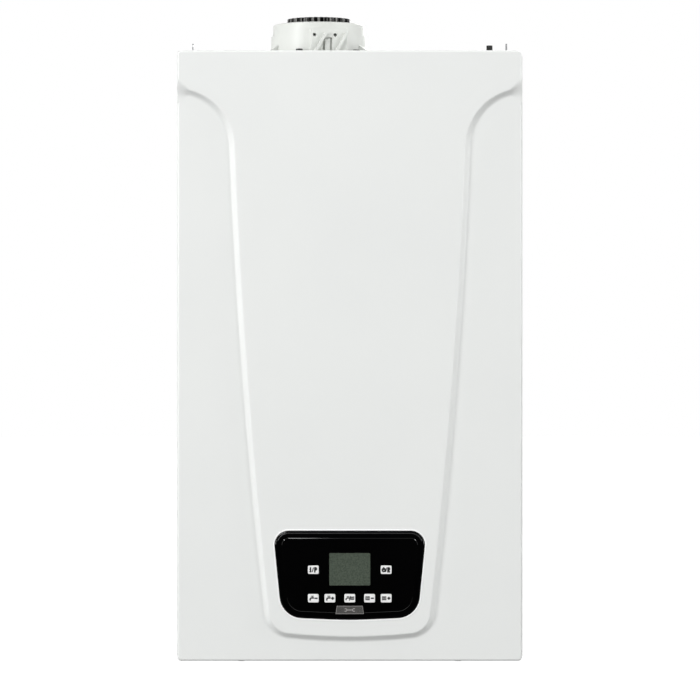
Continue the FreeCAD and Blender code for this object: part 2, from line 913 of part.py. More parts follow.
def flue_seal():
    low = duct_top - seal_skirt
    shape = rod(seal_radius, (flue_x, flue_y, low), (flue_x, flue_y, duct_top + seal_rise))
    cuts = [rod(duct_radius + seat_gap, (flue_x, flue_y, low - overrun), (flue_x, flue_y, duct_top)),
            rod(seal_bore, (flue_x, flue_y, low), (flue_x, flue_y, duct_top + seal_rise + overrun))]
    flute = rod(seal_flute_radius, (flue_x + seal_radius, flue_y, duct_top + seal_rise / 8),
                (flue_x + seal_radius, flue_y, duct_top + seal_rise + overrun))
    return shape.cut(cuts + around(flute, seal_flutes, (flue_x, flue_y, 0), (0, 0, 1)))


# Heat exchanger and burner
def heat_exchanger():
    drum = rod(drum_radius, (drum_x, -drum_rear, drum_level), (drum_x, drum_front, drum_level))
    pitch = drum_length / drum_grooves
    for index in range(drum_grooves):
        y = -drum_rear - index * pitch - pitch / 2
        drum = drum.cut(tube(drum_radius + overrun, drum_radius - drum_groove_depth,
                             (drum_x, y + drum_groove_width / 2, drum_level),
                             (drum_x, y - drum_groove_width / 2, drum_level)))
    spigot = rod(spigot_radius, (flue_x, flue_y, drum_level), (flue_x, flue_y, spigot_top))
    stub = rod(stub_radius, (stub_spread, tail_y, drum_level),
               (stub_spread, tail_y, drum_level - stub_drop))
    drain = rod(drain_radius, (drain_x, flue_y, drum_level), (drain_x, flue_y, drum_level - drain_drop))
    lug = block((0, lug_reach), (flue_y - lug_width / 2, flue_y + lug_width / 2),
                (drum_level - lug_sheet / 2, drum_level + lug_sheet / 2))
    shape = joined([drum, spigot, stub, mirrored(stub), drain, lug, mirrored(lug)])
    inside = rod(drum_radius - drum_wall, (drum_x, -drum_rear - drum_wall, drum_level),
                 (drum_x, drum_front - overrun, drum_level))
    bore = rod(duct_bore, (flue_x, flue_y, drum_level), (flue_x, flue_y, spigot_top + overrun))
    return shape.cut([inside, bore])


def exchanger_brackets():
    shelf = drum_level - lug_sheet / 2
    width = (flue_y - lug_width / 2, flue_y + lug_width / 2)
    top = block((drum_radius + overrun, inner_half), width, (shelf - bracket_sheet, shelf))
    leg = block((inner_half - bracket_sheet, inner_half), width, (shelf - bracket_drop, shelf))
    return pair(joined([top, leg]))


def burner_door():
    plate = rod(door_radius, (drum_x, drum_front, drum_level),
                (drum_x, drum_front - door_sheet, drum_level))
    wide = drum_radius - drum_groove_depth
    rim = tube(wide, door_radius - overrun, (drum_x, drum_front, drum_level),
               (drum_x, drum_front - door_sheet / 2, drum_level))
    boss = rod(door_boss_radius, (drum_x, drum_front, drum_level), (drum_x, door_front, drum_level))
    mouth = rod(door_mouth, (drum_x, drum_front + overrun, drum_level),
                (drum_x, door_front - overrun, drum_level))
    bores = []
    for x in (-electrode_spacing / 2, electrode_spacing / 2):
        level = drum_level + electrode_rise
        bores.append(rod(electrode_radius + seat_gap, (x, drum_front + overrun, level),
                         (x, door_front - overrun, level)))
    return joined([plate, rim, boss]).cut([mouth] + bores)


def door_nuts():
    nut = hex_bar(door_nut_radius, (drum_x + door_bolt_circle, drum_front - door_sheet, drum_level),
                  -door_nut_height)
    return Part.makeCompound(around(nut, door_bolts, (drum_x, 0, drum_level), (0, 1, 0)))


def burner_tube():
    start = door_front + door_boss
    wall = rod(burner_radius, (drum_x, start, drum_level),
               (drum_x, drum_front + burner_length, drum_level))
    hollow = rod(burner_radius - burner_wall, (drum_x, start - overrun, drum_level),
                 (drum_x, drum_front + burner_length - burner_wall, drum_level))
    rim = rod(burner_rim, (drum_x, drum_front, drum_level),
              (drum_x, drum_front + burner_wall, drum_level))
    shape = joined([wall, rim]).cut(hollow)
    slot = block((drum_x - burner_slot_width / 2, drum_x + burner_slot_width / 2),
                 (drum_front + burner_length / 4, drum_front + burner_length * 3 / 4),
                 (drum_level, drum_level + burner_radius + overrun))
    return shape.cut(around(slot, burner_slots, (drum_x, 0, drum_level), (0, 1, 0)))


def ignition_electrode():
    level = drum_level + electrode_rise
    pins = []
    for x in (-electrode_spacing / 2, electrode_spacing / 2):
        outer = drum_front - door_sheet
        ceramic = rod(electrode_radius, (x, outer - electrode_head, level),
                      (x, drum_front + electrode_reach, level))
        tip = rod(electrode_rod, (x, drum_front, level), (x, drum_front + electrode_reach * 2, level))
        pins += [ceramic, tip]
    outer = drum_front - door_sheet
    seat = block((-electrode_spacing, electrode_spacing), (outer - electrode_head / 4, outer),
                 (level - electrode_radius - electrode_rod, level + electrode_radius + electrode_rod))
    return joined([seat] + pins)


# Fan, mixer and air intake
def volute_point(angle, radius):
    return V(fan_x + radius * math.cos(math.radians(angle)), fan_front,
             fan_level + radius * math.sin(math.radians(angle)))


def volute_wire():
    tongue = math.degrees(math.acos(-fan_outlet_near / volute_start))
    outer = volute_start + volute_growth
    sweep = tongue + 180

    def at(angle):
        return volute_point(angle, volute_start + volute_growth * (tongue - angle) / sweep)

    begin = at(tongue)
    edges = []
    stops = (tongue, 0, -90, -180)
    for first, second in zip(stops, stops[1:]):
        edges.append(Part.Arc(at(first), at((first + second) / 2), at(second)).toShape())
    end = at(-180)
    lip = V(fan_x - outer, fan_front, fan_outlet_top)
    near = V(begin.x, fan_front, fan_outlet_top)
    edges += [Part.makeLine(end, lip), Part.makeLine(lip, near), Part.makeLine(near, begin)]
    return Part.Wire(edges)


def fan_housing():
    shape = slab(volute_wire(), fan_depth)
    cavity = rod(fan_cavity, (fan_x, fan_front + fan_wall, fan_level),
                 (fan_x, fan_rear - fan_wall, fan_level))
    outer = fan_x - volute_start - volute_growth + fan_wall
    throat = block((outer, fan_x - fan_outlet_near - fan_wall),
                   (fan_front + fan_wall, fan_rear - fan_wall),
                   (fan_level, fan_outlet_top + overrun))
    eye = rod(impeller_eye, (fan_x, fan_front - overrun, fan_level),
              (fan_x, fan_front + fan_wall + overrun, fan_level))
    shaft = rod(fan_shaft + seat_gap, (fan_x, fan_rear - fan_wall - overrun, fan_level),
                (fan_x, fan_rear + overrun, fan_level))
    return shape.cut([cavity, throat, eye, shaft])


def fan_motor():
    body = rod(fan_motor_radius, (fan_x, fan_rear, fan_level),
               (fan_x, fan_rear + fan_motor_depth * fan_motor_body_share, fan_level))
    back = rod(fan_motor_boss, (fan_x, fan_rear, fan_level),
               (fan_x, fan_rear + fan_motor_depth, fan_level))
    bore = rod(fan_shaft + shaft_play, (fan_x, fan_rear - overrun, fan_level),
               (fan_x, fan_rear + shaft_hold + seat_gap, fan_level))
    return joined([body, back]).cut(bore)


def fan_impeller():
    rear = fan_rear - fan_wall - overrun
    front = rear - impeller_depth
    disc = rod(impeller_radius, (fan_x, rear, fan_level), (fan_x, rear - impeller_disc, fan_level))
    hub = rod(fan_shaft * 2, (fan_x, rear, fan_level), (fan_x, rear - impeller_depth / 2, fan_level))
    shaft = rod(fan_shaft, (fan_x, rear - impeller_disc, fan_level),
                (fan_x, fan_rear + shaft_hold, fan_level))
    shroud = tube(impeller_radius, impeller_radius - impeller_blade_depth, (fan_x, front, fan_level),
                  (fan_x, front + impeller_disc / 2, fan_level))
    blade = block((fan_x + impeller_radius - impeller_blade_depth,
                   fan_x + impeller_radius - impeller_blade_sheet),
                  (front, rear), (fan_level - impeller_blade_sheet / 2,
                                  fan_level + impeller_blade_sheet / 2))
    blade.rotate(V(fan_x + impeller_radius - impeller_blade_depth / 2, 0, fan_level), V(0, 1, 0),
                 impeller_blade_angle)
    limit = rod(impeller_radius, (fan_x, front, fan_level), (fan_x, rear, fan_level))
    blades = [b.common(limit) for b in around(blade, impeller_blades, (fan_x, 0, fan_level), (0, 1, 0))]
    return joined([disc, hub, shaft, shroud] + blades)


def burner_manifold():
    left = fan_x - volute_start - volute_growth
    right = fan_x - fan_outlet_near
    end = manifold_end
    wire = Part.Wire([
        Part.makeLine(V(left, manifold_front, fan_outlet_top), V(right, manifold_front, fan_outlet_top)),
        Part.makeLine(V(right, manifold_front, fan_outlet_top),
                      V(drum_x + end, manifold_front, drum_level)),
        Part.Arc(V(drum_x + end, manifold_front, drum_level), V(drum_x, manifold_front, drum_level + end),
                 V(drum_x - end, manifold_front, drum_level)).toShape(),
        Part.makeLine(V(drum_x - end, manifold_front, drum_level),
                      V(left, manifold_front, fan_outlet_top))])
    shape = slab(wire, door_front - manifold_front)
    return shape.makeFillet(fan_wall, edges_in_plane(shape, manifold_front))


def mixer():
    body = rod(mixer_radius, (fan_x, fan_front, fan_level), (fan_x, mixer_front, fan_level))
    port = rod(mixer_port + mixer_port_wall, (fan_x, gas_line_y, fan_level),
               (fan_x - mixer_radius - mixer_port_reach, gas_line_y, fan_level))
    air = rod(silencer_radius - silencer_wall, (fan_x + silencer_offset, gas_line_y, fan_level),
              (fan_x + silencer_offset, gas_line_y, silencer_low))
    ways = [rod(mixer_throat, (fan_x, fan_front + overrun, fan_level), (fan_x, gas_line_y, fan_level)),
            rod(mixer_port, (fan_x, gas_line_y, fan_level),
                (fan_x - mixer_radius - mixer_port_reach - overrun, gas_line_y, fan_level)),
            rod(mixer_throat, (fan_x + silencer_offset, gas_line_y, fan_level),
                (fan_x + silencer_offset, gas_line_y, silencer_low + overrun))]
    return joined([body, port, air]).cut(ways)


def air_silencer():
    x = fan_x + silencer_offset
    high = silencer_low + silencer_length
    bell = high - silencer_mouth

    def trunk(inset, past):
        straight = rod(silencer_radius - inset, (x, gas_line_y, silencer_low - past),
                       (x, gas_line_y, bell))
        cone = Part.makeCone(silencer_radius - inset, silencer_mouth - inset, silencer_mouth,
                             V(x, gas_line_y, bell))
        return straight.fuse(cone)

    top = rod(silencer_mouth - silencer_wall, (x, gas_line_y, high), (x, gas_line_y, high + overrun))
    return trunk(0, 0).cut([trunk(silencer_wall, overrun), top]).removeSplitter()


# Gas train
def gas_valve():
    x = (valve_x - valve_width / 2, valve_x + valve_width / 2)
    z = (valve_inlet_level, valve_inlet_level + valve_height)
    front = gas_line_y - valve_depth / 4
    body = slab(rectangle(x, z, valve_edge, front), valve_depth)
    coils = []
    for side in (-coil_spread, coil_spread):
        coils.append(rod(coil_radius, (valve_x + side, front + valve_depth / 2, z[1]),
                         (valve_x + side, front + valve_depth / 2, z[1] + coil_height)))
    screw = rod(coil_radius / 2, (valve_x, front, z[0] + valve_height / 3),
                (valve_x, front - valve_edge / 2, z[0] + valve_height / 3))
    return joined([body, screw] + coils)


def gas_feed_tube():
    start = valve_x + valve_width / 2
    end = fan_x - mixer_radius - mixer_port_reach
    pipe = rod(gas_tube_radius, (start, gas_line_y, fan_level), (end, gas_line_y, fan_level))
    nuts = [rod(gas_nut_radius - valve_edge / 2, (start, gas_line_y, fan_level),
                (start + gas_nut_length, gas_line_y, fan_level)),
            rod(gas_nut_radius - valve_edge / 2, (end - gas_nut_length, gas_line_y, fan_level),
                (end, gas_line_y, fan_level))]
    return joined([pipe] + nuts)


def gas_pipe():
    top = valve_inlet_level
    run = bent_rod([(0, tail_y, block_low), (0, tail_y, gas_level), (valve_x, gas_line_y, gas_level),
                    (valve_x, gas_line_y, top)], gas_tube_radius, gas_bend)
    nuts = [hexagon(gas_nut_radius, (0, tail_y, block_low), gas_nut_length),
            hexagon(gas_nut_radius, (valve_x, gas_line_y, top - gas_nut_length), gas_nut_length)]
    return joined([run] + nuts)


# Expansion vessel
def expansion_vessel():
    x = (vessel_offset - vessel_width / 2, vessel_offset + vessel_width / 2)
    z = (vessel_low, vessel_top)
    body = slab(rectangle(x, z, vessel_corner, -bead_depth), -vessel_depth)
    body = body.makeFillet(vessel_edge, edges_in_plane(body, -bead_depth) + edges_in_plane(body,
                                                                                           vessel_front))
    grown = (x[0] - vessel_seam, x[1] + vessel_seam)
    seam = slab(rectangle(grown, (z[0] - vessel_seam, z[1] + vessel_seam), vessel_corner + vessel_seam,
                          vessel_axis - vessel_seam_width / 2), vessel_seam_width)
    boss = rod(charge_boss_radius, (charge_x, vessel_axis, vessel_top - charge_boss_drop),
               (charge_x, vessel_axis, vessel_top + vessel_seam))
    foot = rod(charge_boss_radius, (vessel_pipe_x, vessel_axis, vessel_low + charge_boss_drop),
               (vessel_pipe_x, vessel_axis, vessel_low - vessel_seam * 2))
    inner = (x[0] + vessel_wall, x[1] - vessel_wall)
    hollow = slab(rectangle(inner, (z[0] + vessel_wall, z[1] - vessel_wall), vessel_corner - vessel_wall,
                            -bead_depth - vessel_wall), vessel_wall * 2 - vessel_depth)
    faces = edges_in_plane(hollow, -bead_depth - vessel_wall) + edges_in_plane(hollow,
                                                                               vessel_front + vessel_wall)
    hollow = hollow.makeFillet(vessel_edge - vessel_wall, faces)
    mouth = rod(vessel_mouth, (vessel_pipe_x, vessel_axis, vessel_low + charge_boss_drop * 2),
                (vessel_pipe_x, vessel_axis, vessel_low - vessel_seam * 2 - overrun))
    return joined([body, seam, boss, foot]).cut([hollow, mouth])


def vessel_pipe():
    start = vessel_low - vessel_seam * 2
    return bent_rod([(vessel_pipe_x, vessel_axis, start), (vessel_pipe_x, vessel_axis, vessel_pipe_level),
                     (vessel_pipe_x, tail_y, vessel_pipe_level), (vessel_pipe_x, tail_y, block_top)],
                    vessel_pipe_radius, vessel_pipe_bend)


def charge_valve():
    foot = (charge_x, vessel_axis, vessel_top + vessel_seam)
    return rod(charge_radius, foot, (charge_x, vessel_axis, case_height + charge_rise))


def charge_cap():
    start = case_height + charge_rise
    body = rod(charge_cap_radius, (charge_x, vessel_axis, start),
               (charge_x, vessel_axis, start + charge_cap_height))
    flute = rod(charge_flute_radius, (charge_x + charge_cap_radius, vessel_axis, start - overrun),
                (charge_x + charge_cap_radius, vessel_axis,
                 start + charge_cap_height - charge_flute_radius))
    return body.cut(around(flute, charge_cap_flutes, (charge_x, vessel_axis, 0), (0, 0, 1)))


# Water side
def neck_ring(x, y, radius):
    return tube(radius + overrun, radius - tail_neck, (x, y, plate_level - tail_neck_drop),
                (x, y, plate_top))


def service_tails():
    tails = []
    for x in tail_places():
        radius = tail_radius(x)
        thread = rod(radius, (x, tail_y, tail_end), (x, tail_y, block_low))
        collar = hexagon(tail_collar_radius, (x, tail_y, plate_top), tail_collar)
        thread = thread.cut(neck_ring(x, tail_y, radius))
        bore = rod(radius - tail_wall, (x, tail_y, tail_end - overrun),
                   (x, tail_y, plate_top + tail_collar))
        tails.append(joined([thread, collar]).cut(bore))
    return Part.makeCompound(tails)


def water_block():
    x = (block_inner, block_outer)
    body = slab(rectangle(x, (block_low, block_top), block_edge, block_rear), -block_depth)
    boss = rod(tap_boss_radius, (knob_spread, tail_y, block_low + block_edge),
               (knob_spread, tail_y, plate_top + tap_boss_gap))
    stem = rod(tap_stem + shaft_play, (knob_spread, tail_y, plate_top - overrun),
               (knob_spread, tail_y, plate_top + tap_boss_gap + tap_stem_hold + seat_gap))
    return joined([body, boss]).cut(stem)


def tap_knob():
    top = plate_top + tap_boss_gap - seat_gap
    grip = rod(tap_knob_radius, (knob_spread, tail_y, top - tap_knob_height), (knob_spread, tail_y, top))
    stem = rod(tap_stem, (knob_spread, tail_y, top - tap_knob_height / 2),
               (knob_spread, tail_y, plate_top + tap_boss_gap + tap_stem_hold))
    flute = rod(tap_flute_radius,
                (knob_spread + tap_knob_radius, tail_y, top - tap_knob_height - overrun),
                (knob_spread + tap_knob_radius, tail_y, top - tap_flute_radius * 2))
    return joined([grip, stem]).cut(around(flute, tap_knob_flutes, (knob_spread, tail_y, 0), (0, 0, 1)))


def diverter_motor():
    body = rod(diverter_radius, (diverter_x, tail_y, block_top),
               (diverter_x, tail_y, block_top + diverter_height))
    plug = block((diverter_x - diverter_plug / 2, diverter_x + diverter_plug / 2),
                 (tail_y - diverter_radius - diverter_plug / 2, tail_y),
                 (block_top + diverter_plug, block_top + diverter_height - diverter_plug / 2))
    return joined([body, plug])


def water_pipe():
    return bent_rod([(water_pipe_x, tail_y, block_top), (water_pipe_x, tail_y, water_pipe_lower),
                     (stub_spread, tail_y, water_pipe_upper), (stub_spread, tail_y,
                                                               drum_level - stub_drop)],
                    water_pipe_radius, water_pipe_bend)


def plate_exchanger():
    half = plates_width / 2
    front = block_rear + plates_port_length
    body = slab(rectangle((-half, half), (plates_low, plates_low + plates_height), plates_edge, front),
                plates_depth)
    pitch = plates_depth / plates_count
    grooves = []
    for index in range(1, plates_count):
        y = front + index * pitch - plate_groove / 2
        outer = slab(rectangle((-half - overrun, half + overrun),
                               (plates_low - overrun,
                                plates_low + plates_height + overrun), plates_edge, y), plate_groove)
        inner = slab(rectangle((-half + plate_groove, half - plate_groove),
                               (plates_low + plate_groove, plates_low + plates_height - plate_groove),
                               plates_edge - plate_groove, y), plate_groove)
        grooves.append(outer.cut(inner))
    middle = plates_low + plates_height / 2
    ports = []
    for x in (-plates_port_x, plates_port_x):
        for level in (middle - plates_port_z, middle + plates_port_z):
            ports.append(rod(plates_port_radius, (x, block_rear, level), (x, front + plates_edge, level)))
    return joined([body.cut(grooves)] + ports)


def pump_housing():
    body = rod(pump_radius, (pump_x, block_front, pump_level), (pump_x, pump_front, pump_level))
    body = body.makeFillet(pump_wall / 2, [e for e in edges_in_plane(body, pump_front)
                                           if len(e.Vertexes) == 1])
    cavity = rod(pump_cavity, (pump_x, block_front - pump_wall, pump_level),
                 (pump_x, pump_front + pump_wall, pump_level))
    shaft = rod(rotor_shaft + seat_gap, (pump_x, pump_front + pump_wall + overrun, pump_level),
                (pump_x, pump_front - overrun, pump_level))
    return body.cut([cavity, shaft])


def pump_motor():
    body = rod(pump_motor_radius, (pump_x, pump_front, pump_level),
               (pump_x, pump_front - pump_motor_depth, pump_level))
    slot = block((pump_x + pump_motor_radius - pump_fin_depth, pump_x + pump_motor_radius + overrun),
                 (pump_front - pump_motor_depth * pump_fin_shares[1],
                  pump_front - pump_motor_depth * pump_fin_shares[0]),
                 (pump_level - pump_fin_width / 2, pump_level + pump_fin_width / 2))
    bore = rod(rotor_shaft + shaft_play, (pump_x, pump_front + overrun, pump_level),
               (pump_x, pump_front - rotor_hold - seat_gap, pump_level))
    return body.cut(around(slot, pump_fins, (pump_x, 0, pump_level), (0, 1, 0)) + [bore])


def pump_rotor():
    rear = block_front - pump_wall - overrun
    disc = rod(rotor_radius, (pump_x, rear, pump_level), (pump_x, rear - rotor_vane_sheet, pump_level))
    shaft = rod(rotor_shaft, (pump_x, rear, pump_level), (pump_x, pump_front - rotor_hold, pump_level))
    vane = block((pump_x, pump_x + rotor_radius - rotor_vane_sheet), (rear - rotor_depth, rear),
                 (pump_level - rotor_vane_sheet / 2, pump_level + rotor_vane_sheet / 2))
    return joined([disc, shaft] + around(vane, rotor_vanes, (pump_x, 0, pump_level), (0, 1, 0)))


# Pieces on the bottom plate
def pressure_gauge():
    low = plate_level - gauge_rim_drop
    body = rod(gauge_radius, (gauge_x, gauge_y, low), (gauge_x, gauge_y, plate_level + gauge_height))
    rim = rod(gauge_rim, (gauge_x, gauge_y, low), (gauge_x, gauge_y, plate_level))
    recess = rod(gauge_recess_radius, (gauge_x, gauge_y, low - overrun),
                 (gauge_x, gauge_y, low + gauge_recess))
    post = rod(needle_post, (gauge_x, gauge_y, low + needle_sheet),
               (gauge_x, gauge_y, low + gauge_recess))
    return joined([joined([body, rim]).cut(recess), post])


def gauge_needle():
    low = plate_level - gauge_rim_drop + gauge_recess / 2
    hub = rod(needle_hub, (gauge_x, gauge_y, low), (gauge_x, gauge_y, low + needle_sheet))
    wire = Part.makePolygon([V(gauge_x - needle_width / 2, gauge_y + needle_tail, low),
                             V(gauge_x + needle_width / 2, gauge_y + needle_tail, low),
                             V(gauge_x + needle_width / 4, gauge_y - needle_length, low),
                             V(gauge_x - needle_width / 4, gauge_y - needle_length, low),
                             V(gauge_x - needle_width / 2, gauge_y + needle_tail, low)])
    blade = Part.Face(wire).extrude(V(0, 0, needle_sheet))
    bore = rod(needle_post + shaft_play, (gauge_x, gauge_y, low - overrun),
               (gauge_x, gauge_y, low + overrun))
    return joined([hub, blade]).cut(bore)


def condensate_trap():
    top = trap_low + trap_height
    body = rod(trap_radius, (trap_x, trap_y, trap_low), (trap_x, trap_y, top))
    cap = rod(trap_cap_radius, (trap_x, trap_y, top - trap_cap), (trap_x, trap_y, top))
    shoulder = rod(trap_cap_radius, (trap_x, trap_y, plate_top), (trap_x, trap_y, trap_low))
    nozzle = rod(trap_nozzle, (trap_x, trap_y, tail_end), (trap_x, trap_y, plate_top + tail_wall))
    nozzle = nozzle.cut(neck_ring(trap_x, trap_y, trap_nozzle))
    bore = rod(trap_nozzle - tail_wall, (trap_x, trap_y, tail_end - overrun), (trap_x, trap_y, trap_low))
    run = bent_rod([(drain_x, flue_y, drum_level - drain_drop), (drain_x, flue_y, trap_pipe_level),
                    (trap_x, trap_y, trap_pipe_level - trap_cap * 2), (trap_x, trap_y, top - trap_cap)],
                   trap_pipe_radius, trap_pipe_bend)
    return joined([body, cap, shoulder, nozzle, run]).cut(bore)


def cable_gland():
    low = plate_level - gland_nut_height
    nut = hexagon(gland_nut, (gland_x, gland_y, low), gland_nut_height)
    dome = Part.makeCone(gland_radius, gland_radius - gland_bore / 2, gland_dome_height,
                         V(gland_x, gland_y, low), V(0, 0, -1))
    thread = rod(gland_radius, (gland_x, gland_y, low), (gland_x, gland_y, plate_top + gland_nut_height))
    lock = hexagon(gland_nut, (gland_x, gland_y, plate_top), gland_nut_height)
    bore = rod(gland_bore, (gland_x, gland_y, low - gland_dome_height - overrun),
               (gland_x, gland_y, plate_top + gland_nut_height + overrun))
    return joined([nut, dome, thread, lock]).cut(bore)


# Control box
def fascia_wire(outset, y):
    corners = [(-fascia_half_top, fascia_top, fascia_top_corner),
               (fascia_half_top, fascia_top, fascia_top_corner),
               (fascia_half_bottom, fascia_bottom + fascia_bow, fascia_foot_corner),
               (0, fascia_bottom, fascia_bow_radius),
               (-fascia_half_bottom, fascia_bottom + fascia_bow, fascia_foot_corner)]
    wire = outline(corners, y)
    return wire.makeOffset2D(outset) if outset else wire


def key_places():
    return [(-key_spread_outer, upper_key_level), (key_spread_outer, upper_key_level),
            (-key_spread_outer, lower_key_level), (-key_spread_inner, lower_key_level), (0,
                                                                                         lower_key_level),
            (key_spread_inner, lower_key_level), (key_spread_outer, lower_key_level)]


def key_wire(place, grow, y):
    half = key_width / 2 + grow
    tall = key_height / 2 + grow
    return rectangle((place[0] - half, place[0] + half), (place[1] - tall, place[1] + tall),
                     key_corner + grow / 2, y)


def display_wire(grow, y):
    half = display_width / 2 + grow
    tall = display_height / 2 + grow
    return rectangle((-half, half), (display_level - tall, display_level + tall), key_corner, y)


def flap_wire(grow, y):
    low = flap_bottom - grow
    high = flap_top + grow
    return outline([(-flap_bottom_width / 2 - grow, low, flap_corner),
                    (flap_bottom_width / 2 + grow, low, flap_corner),
                    (flap_top_width / 2 + grow, high, flap_corner), (-flap_top_width / 2 - grow, high,
                                                                     flap_corner)], y)


def fascia():
    band = front_plane + fascia_step
    body = slab(fascia_wire(0, band), housing_front - band)
    body = body.makeFillet(fascia_edge, edges_in_plane(body, band))
    face = slab(fascia_wire(-fascia_band, front_plane), fascia_face)
    face = face.makeChamfer(fascia_step / 2, edges_in_plane(face, front_plane))
    hollow = slab(fascia_wire(-fascia_wall, fascia_rear), housing_front - fascia_rear + overrun)
    shape = body.fuse(face).cut(hollow)
    posts = []
    x = key_spread_outer + key_width + board_inset / 2
    for level in (lower_key_level, upper_key_level + board_inset * 3):
        for side in (-x, x):
            posts.append(rod(board_gap, (side, fascia_rear - seat_gap, level),
                             (side, board_front, level)))
    shape = joined([shape] + posts)
    cuts = [slab(key_wire(place, key_play, front_plane - overrun), fascia_face + overrun * 2)
            for place in key_places()]
    cuts.append(slab(display_wire(-display_lip, front_plane - overrun), fascia_face + overrun * 2))
    cuts.append(slab(display_wire(key_play, front_plane - overrun),
                     overrun + display_sunk + display_sheet))
    cuts.append(slab(flap_wire(key_play, front_plane - overrun), overrun + flap_sheet - flap_proud))
    for side in (-1, 1):
        x = side * flap_top_width / 4
        cuts.append(block((x - flap_leg_sheet, x + flap_leg_sheet),
                          (front_plane - overrun, fascia_rear + overrun),
                          (flap_bottom + flap_leg_sheet, flap_top - flap_leg_sheet)))
    return shape.cut(cuts)


def display_window():
    start = front_plane + display_sunk
    return slab(display_wire(0, start), display_sheet)


def control_board():
    x = key_spread_outer + key_width + board_inset
    low = lower_key_level - key_height
    high = upper_key_level + board_inset * 4
    plate = block((-x, x), (board_front, board_front + board_sheet), (low, high))
    screen = slab(display_wire(-display_lip - seat_gap, front_plane + display_sunk + display_sheet),
                  board_front - front_plane - display_sunk - display_sheet + board_sheet / 2)
    switches = []
    for place in key_places():
        front = key_stem_end() + press_travel + seat_gap / 3
        switches.append(block((place[0] - switch_width / 2, place[0] + switch_width / 2),
                              (front, board_front + board_sheet / 2),
                              (place[1] - switch_width / 2, place[1] + switch_width / 2)))
    return joined([plate, screen] + switches)


def key_stem_end():
    return fascia_rear + seat_gap / 3 + key_flange_sheet + key_stem


def key(place):
    cap = slab(key_wire(place, 0, front_plane - key_proud), key_proud + fascia_face + key_flange_sheet)
    cap = cap.makeFillet(key_edge, edges_in_plane(cap, front_plane - key_proud))
    flange = slab(key_wire(place, key_flange, fascia_rear + seat_gap / 3), key_flange_sheet)
    stem = rod(key_stem, (place[0], fascia_rear, place[1]), (place[0], key_stem_end(), place[1]))
    return joined([cap, flange, stem])


def service_flap():
    front = front_plane - flap_proud
    cap = slab(flap_wire(0, front), flap_sheet)
    legs = []
    for side in (-1, 1):
        x = side * flap_top_width / 4
        leg = flap_leg_sheet - key_play
        legs.append(block((x - leg, x + leg), (front + flap_sheet / 2, fascia_rear + flap_leg),
                          (flap_bottom + flap_leg_sheet + key_play,
                           flap_top - flap_leg_sheet - key_play)))
    return joined([cap] + legs)


def control_housing():
    half = housing_half_width
    rear = housing_rear
    body = slab(rectangle((-half, half), (housing_low, housing_high), housing_corner, housing_front),
                rear - housing_front)
    hollow = slab(rectangle((-half + housing_wall, half - housing_wall),
                            (housing_low + housing_wall,
                             housing_high - housing_wall), housing_corner - housing_wall,
                            housing_front + housing_wall), rear - housing_front - housing_wall * 2)
    mouth = slab(fascia_wire(-fascia_wall * 2, housing_front - overrun), overrun * 2)
    shape = body.cut([hollow, mouth])
    ribs = []
    for index in range(housing_rib_count):
        x = -half + (index + 1) * half * 2 / (housing_rib_count + 1)
        ribs.append(block((x - housing_wall / 2, x + housing_wall / 2), (rear, rear + housing_rib_depth),
                          (housing_low + housing_corner, housing_high - housing_corner)))
    lug = rod(hinge_radius, (half - housing_wall, hinge_y, hinge_z), (half + hinge_lug, hinge_y, hinge_z))
    bore = rod(hinge_pin + hinge_pin_play, (half + housing_wall / 5, hinge_y, hinge_z),
               (half + hinge_lug + overrun, hinge_y, hinge_z))
    lugs = [lug.cut(bore), mirrored(lug.cut(bore))]
    return joined([shape] + ribs + lugs).cut([bore, mirrored(bore)])


def hinge_brackets():
    near = housing_half_width + hinge_lug + seat_gap
    x = (near, near + hinge_arm)
    foot_y = (-panel_depth + panel_sheet, -panel_depth + panel_sheet + hinge_foot_depth)
    wire = Part.Wire([
        Part.makeLine(V(x[0], foot_y[1], plate_top), V(x[0], foot_y[0], plate_top)),
        Part.makeLine(V(x[0], foot_y[0], plate_top), V(x[0], hinge_y, hinge_z - hinge_radius)),
        Part.Arc(V(x[0], hinge_y, hinge_z - hinge_radius), V(x[0], hinge_y - hinge_radius, hinge_z),
                 V(x[0], hinge_y, hinge_z + hinge_radius)).toShape(),
        Part.makeLine(V(x[0], hinge_y, hinge_z + hinge_radius),
                      V(x[0], foot_y[1], hinge_z + hinge_radius)),
        Part.makeLine(V(x[0], foot_y[1], hinge_z + hinge_radius), V(x[0], foot_y[1], plate_top))])
    arm = Part.Face(wire).extrude(V(hinge_arm, 0, 0))
    foot = block((x[1] - hinge_arm / 2, x[1] + hinge_foot_depth / 2), foot_y,
                 (plate_top, plate_top + hinge_arm / 2))
    pin = rod(hinge_pin, (x[1] - hinge_arm / 2, hinge_y, hinge_z),
              (housing_half_width + housing_wall / 2, hinge_y, hinge_z))
    return pair(joined([arm, foot, pin]))


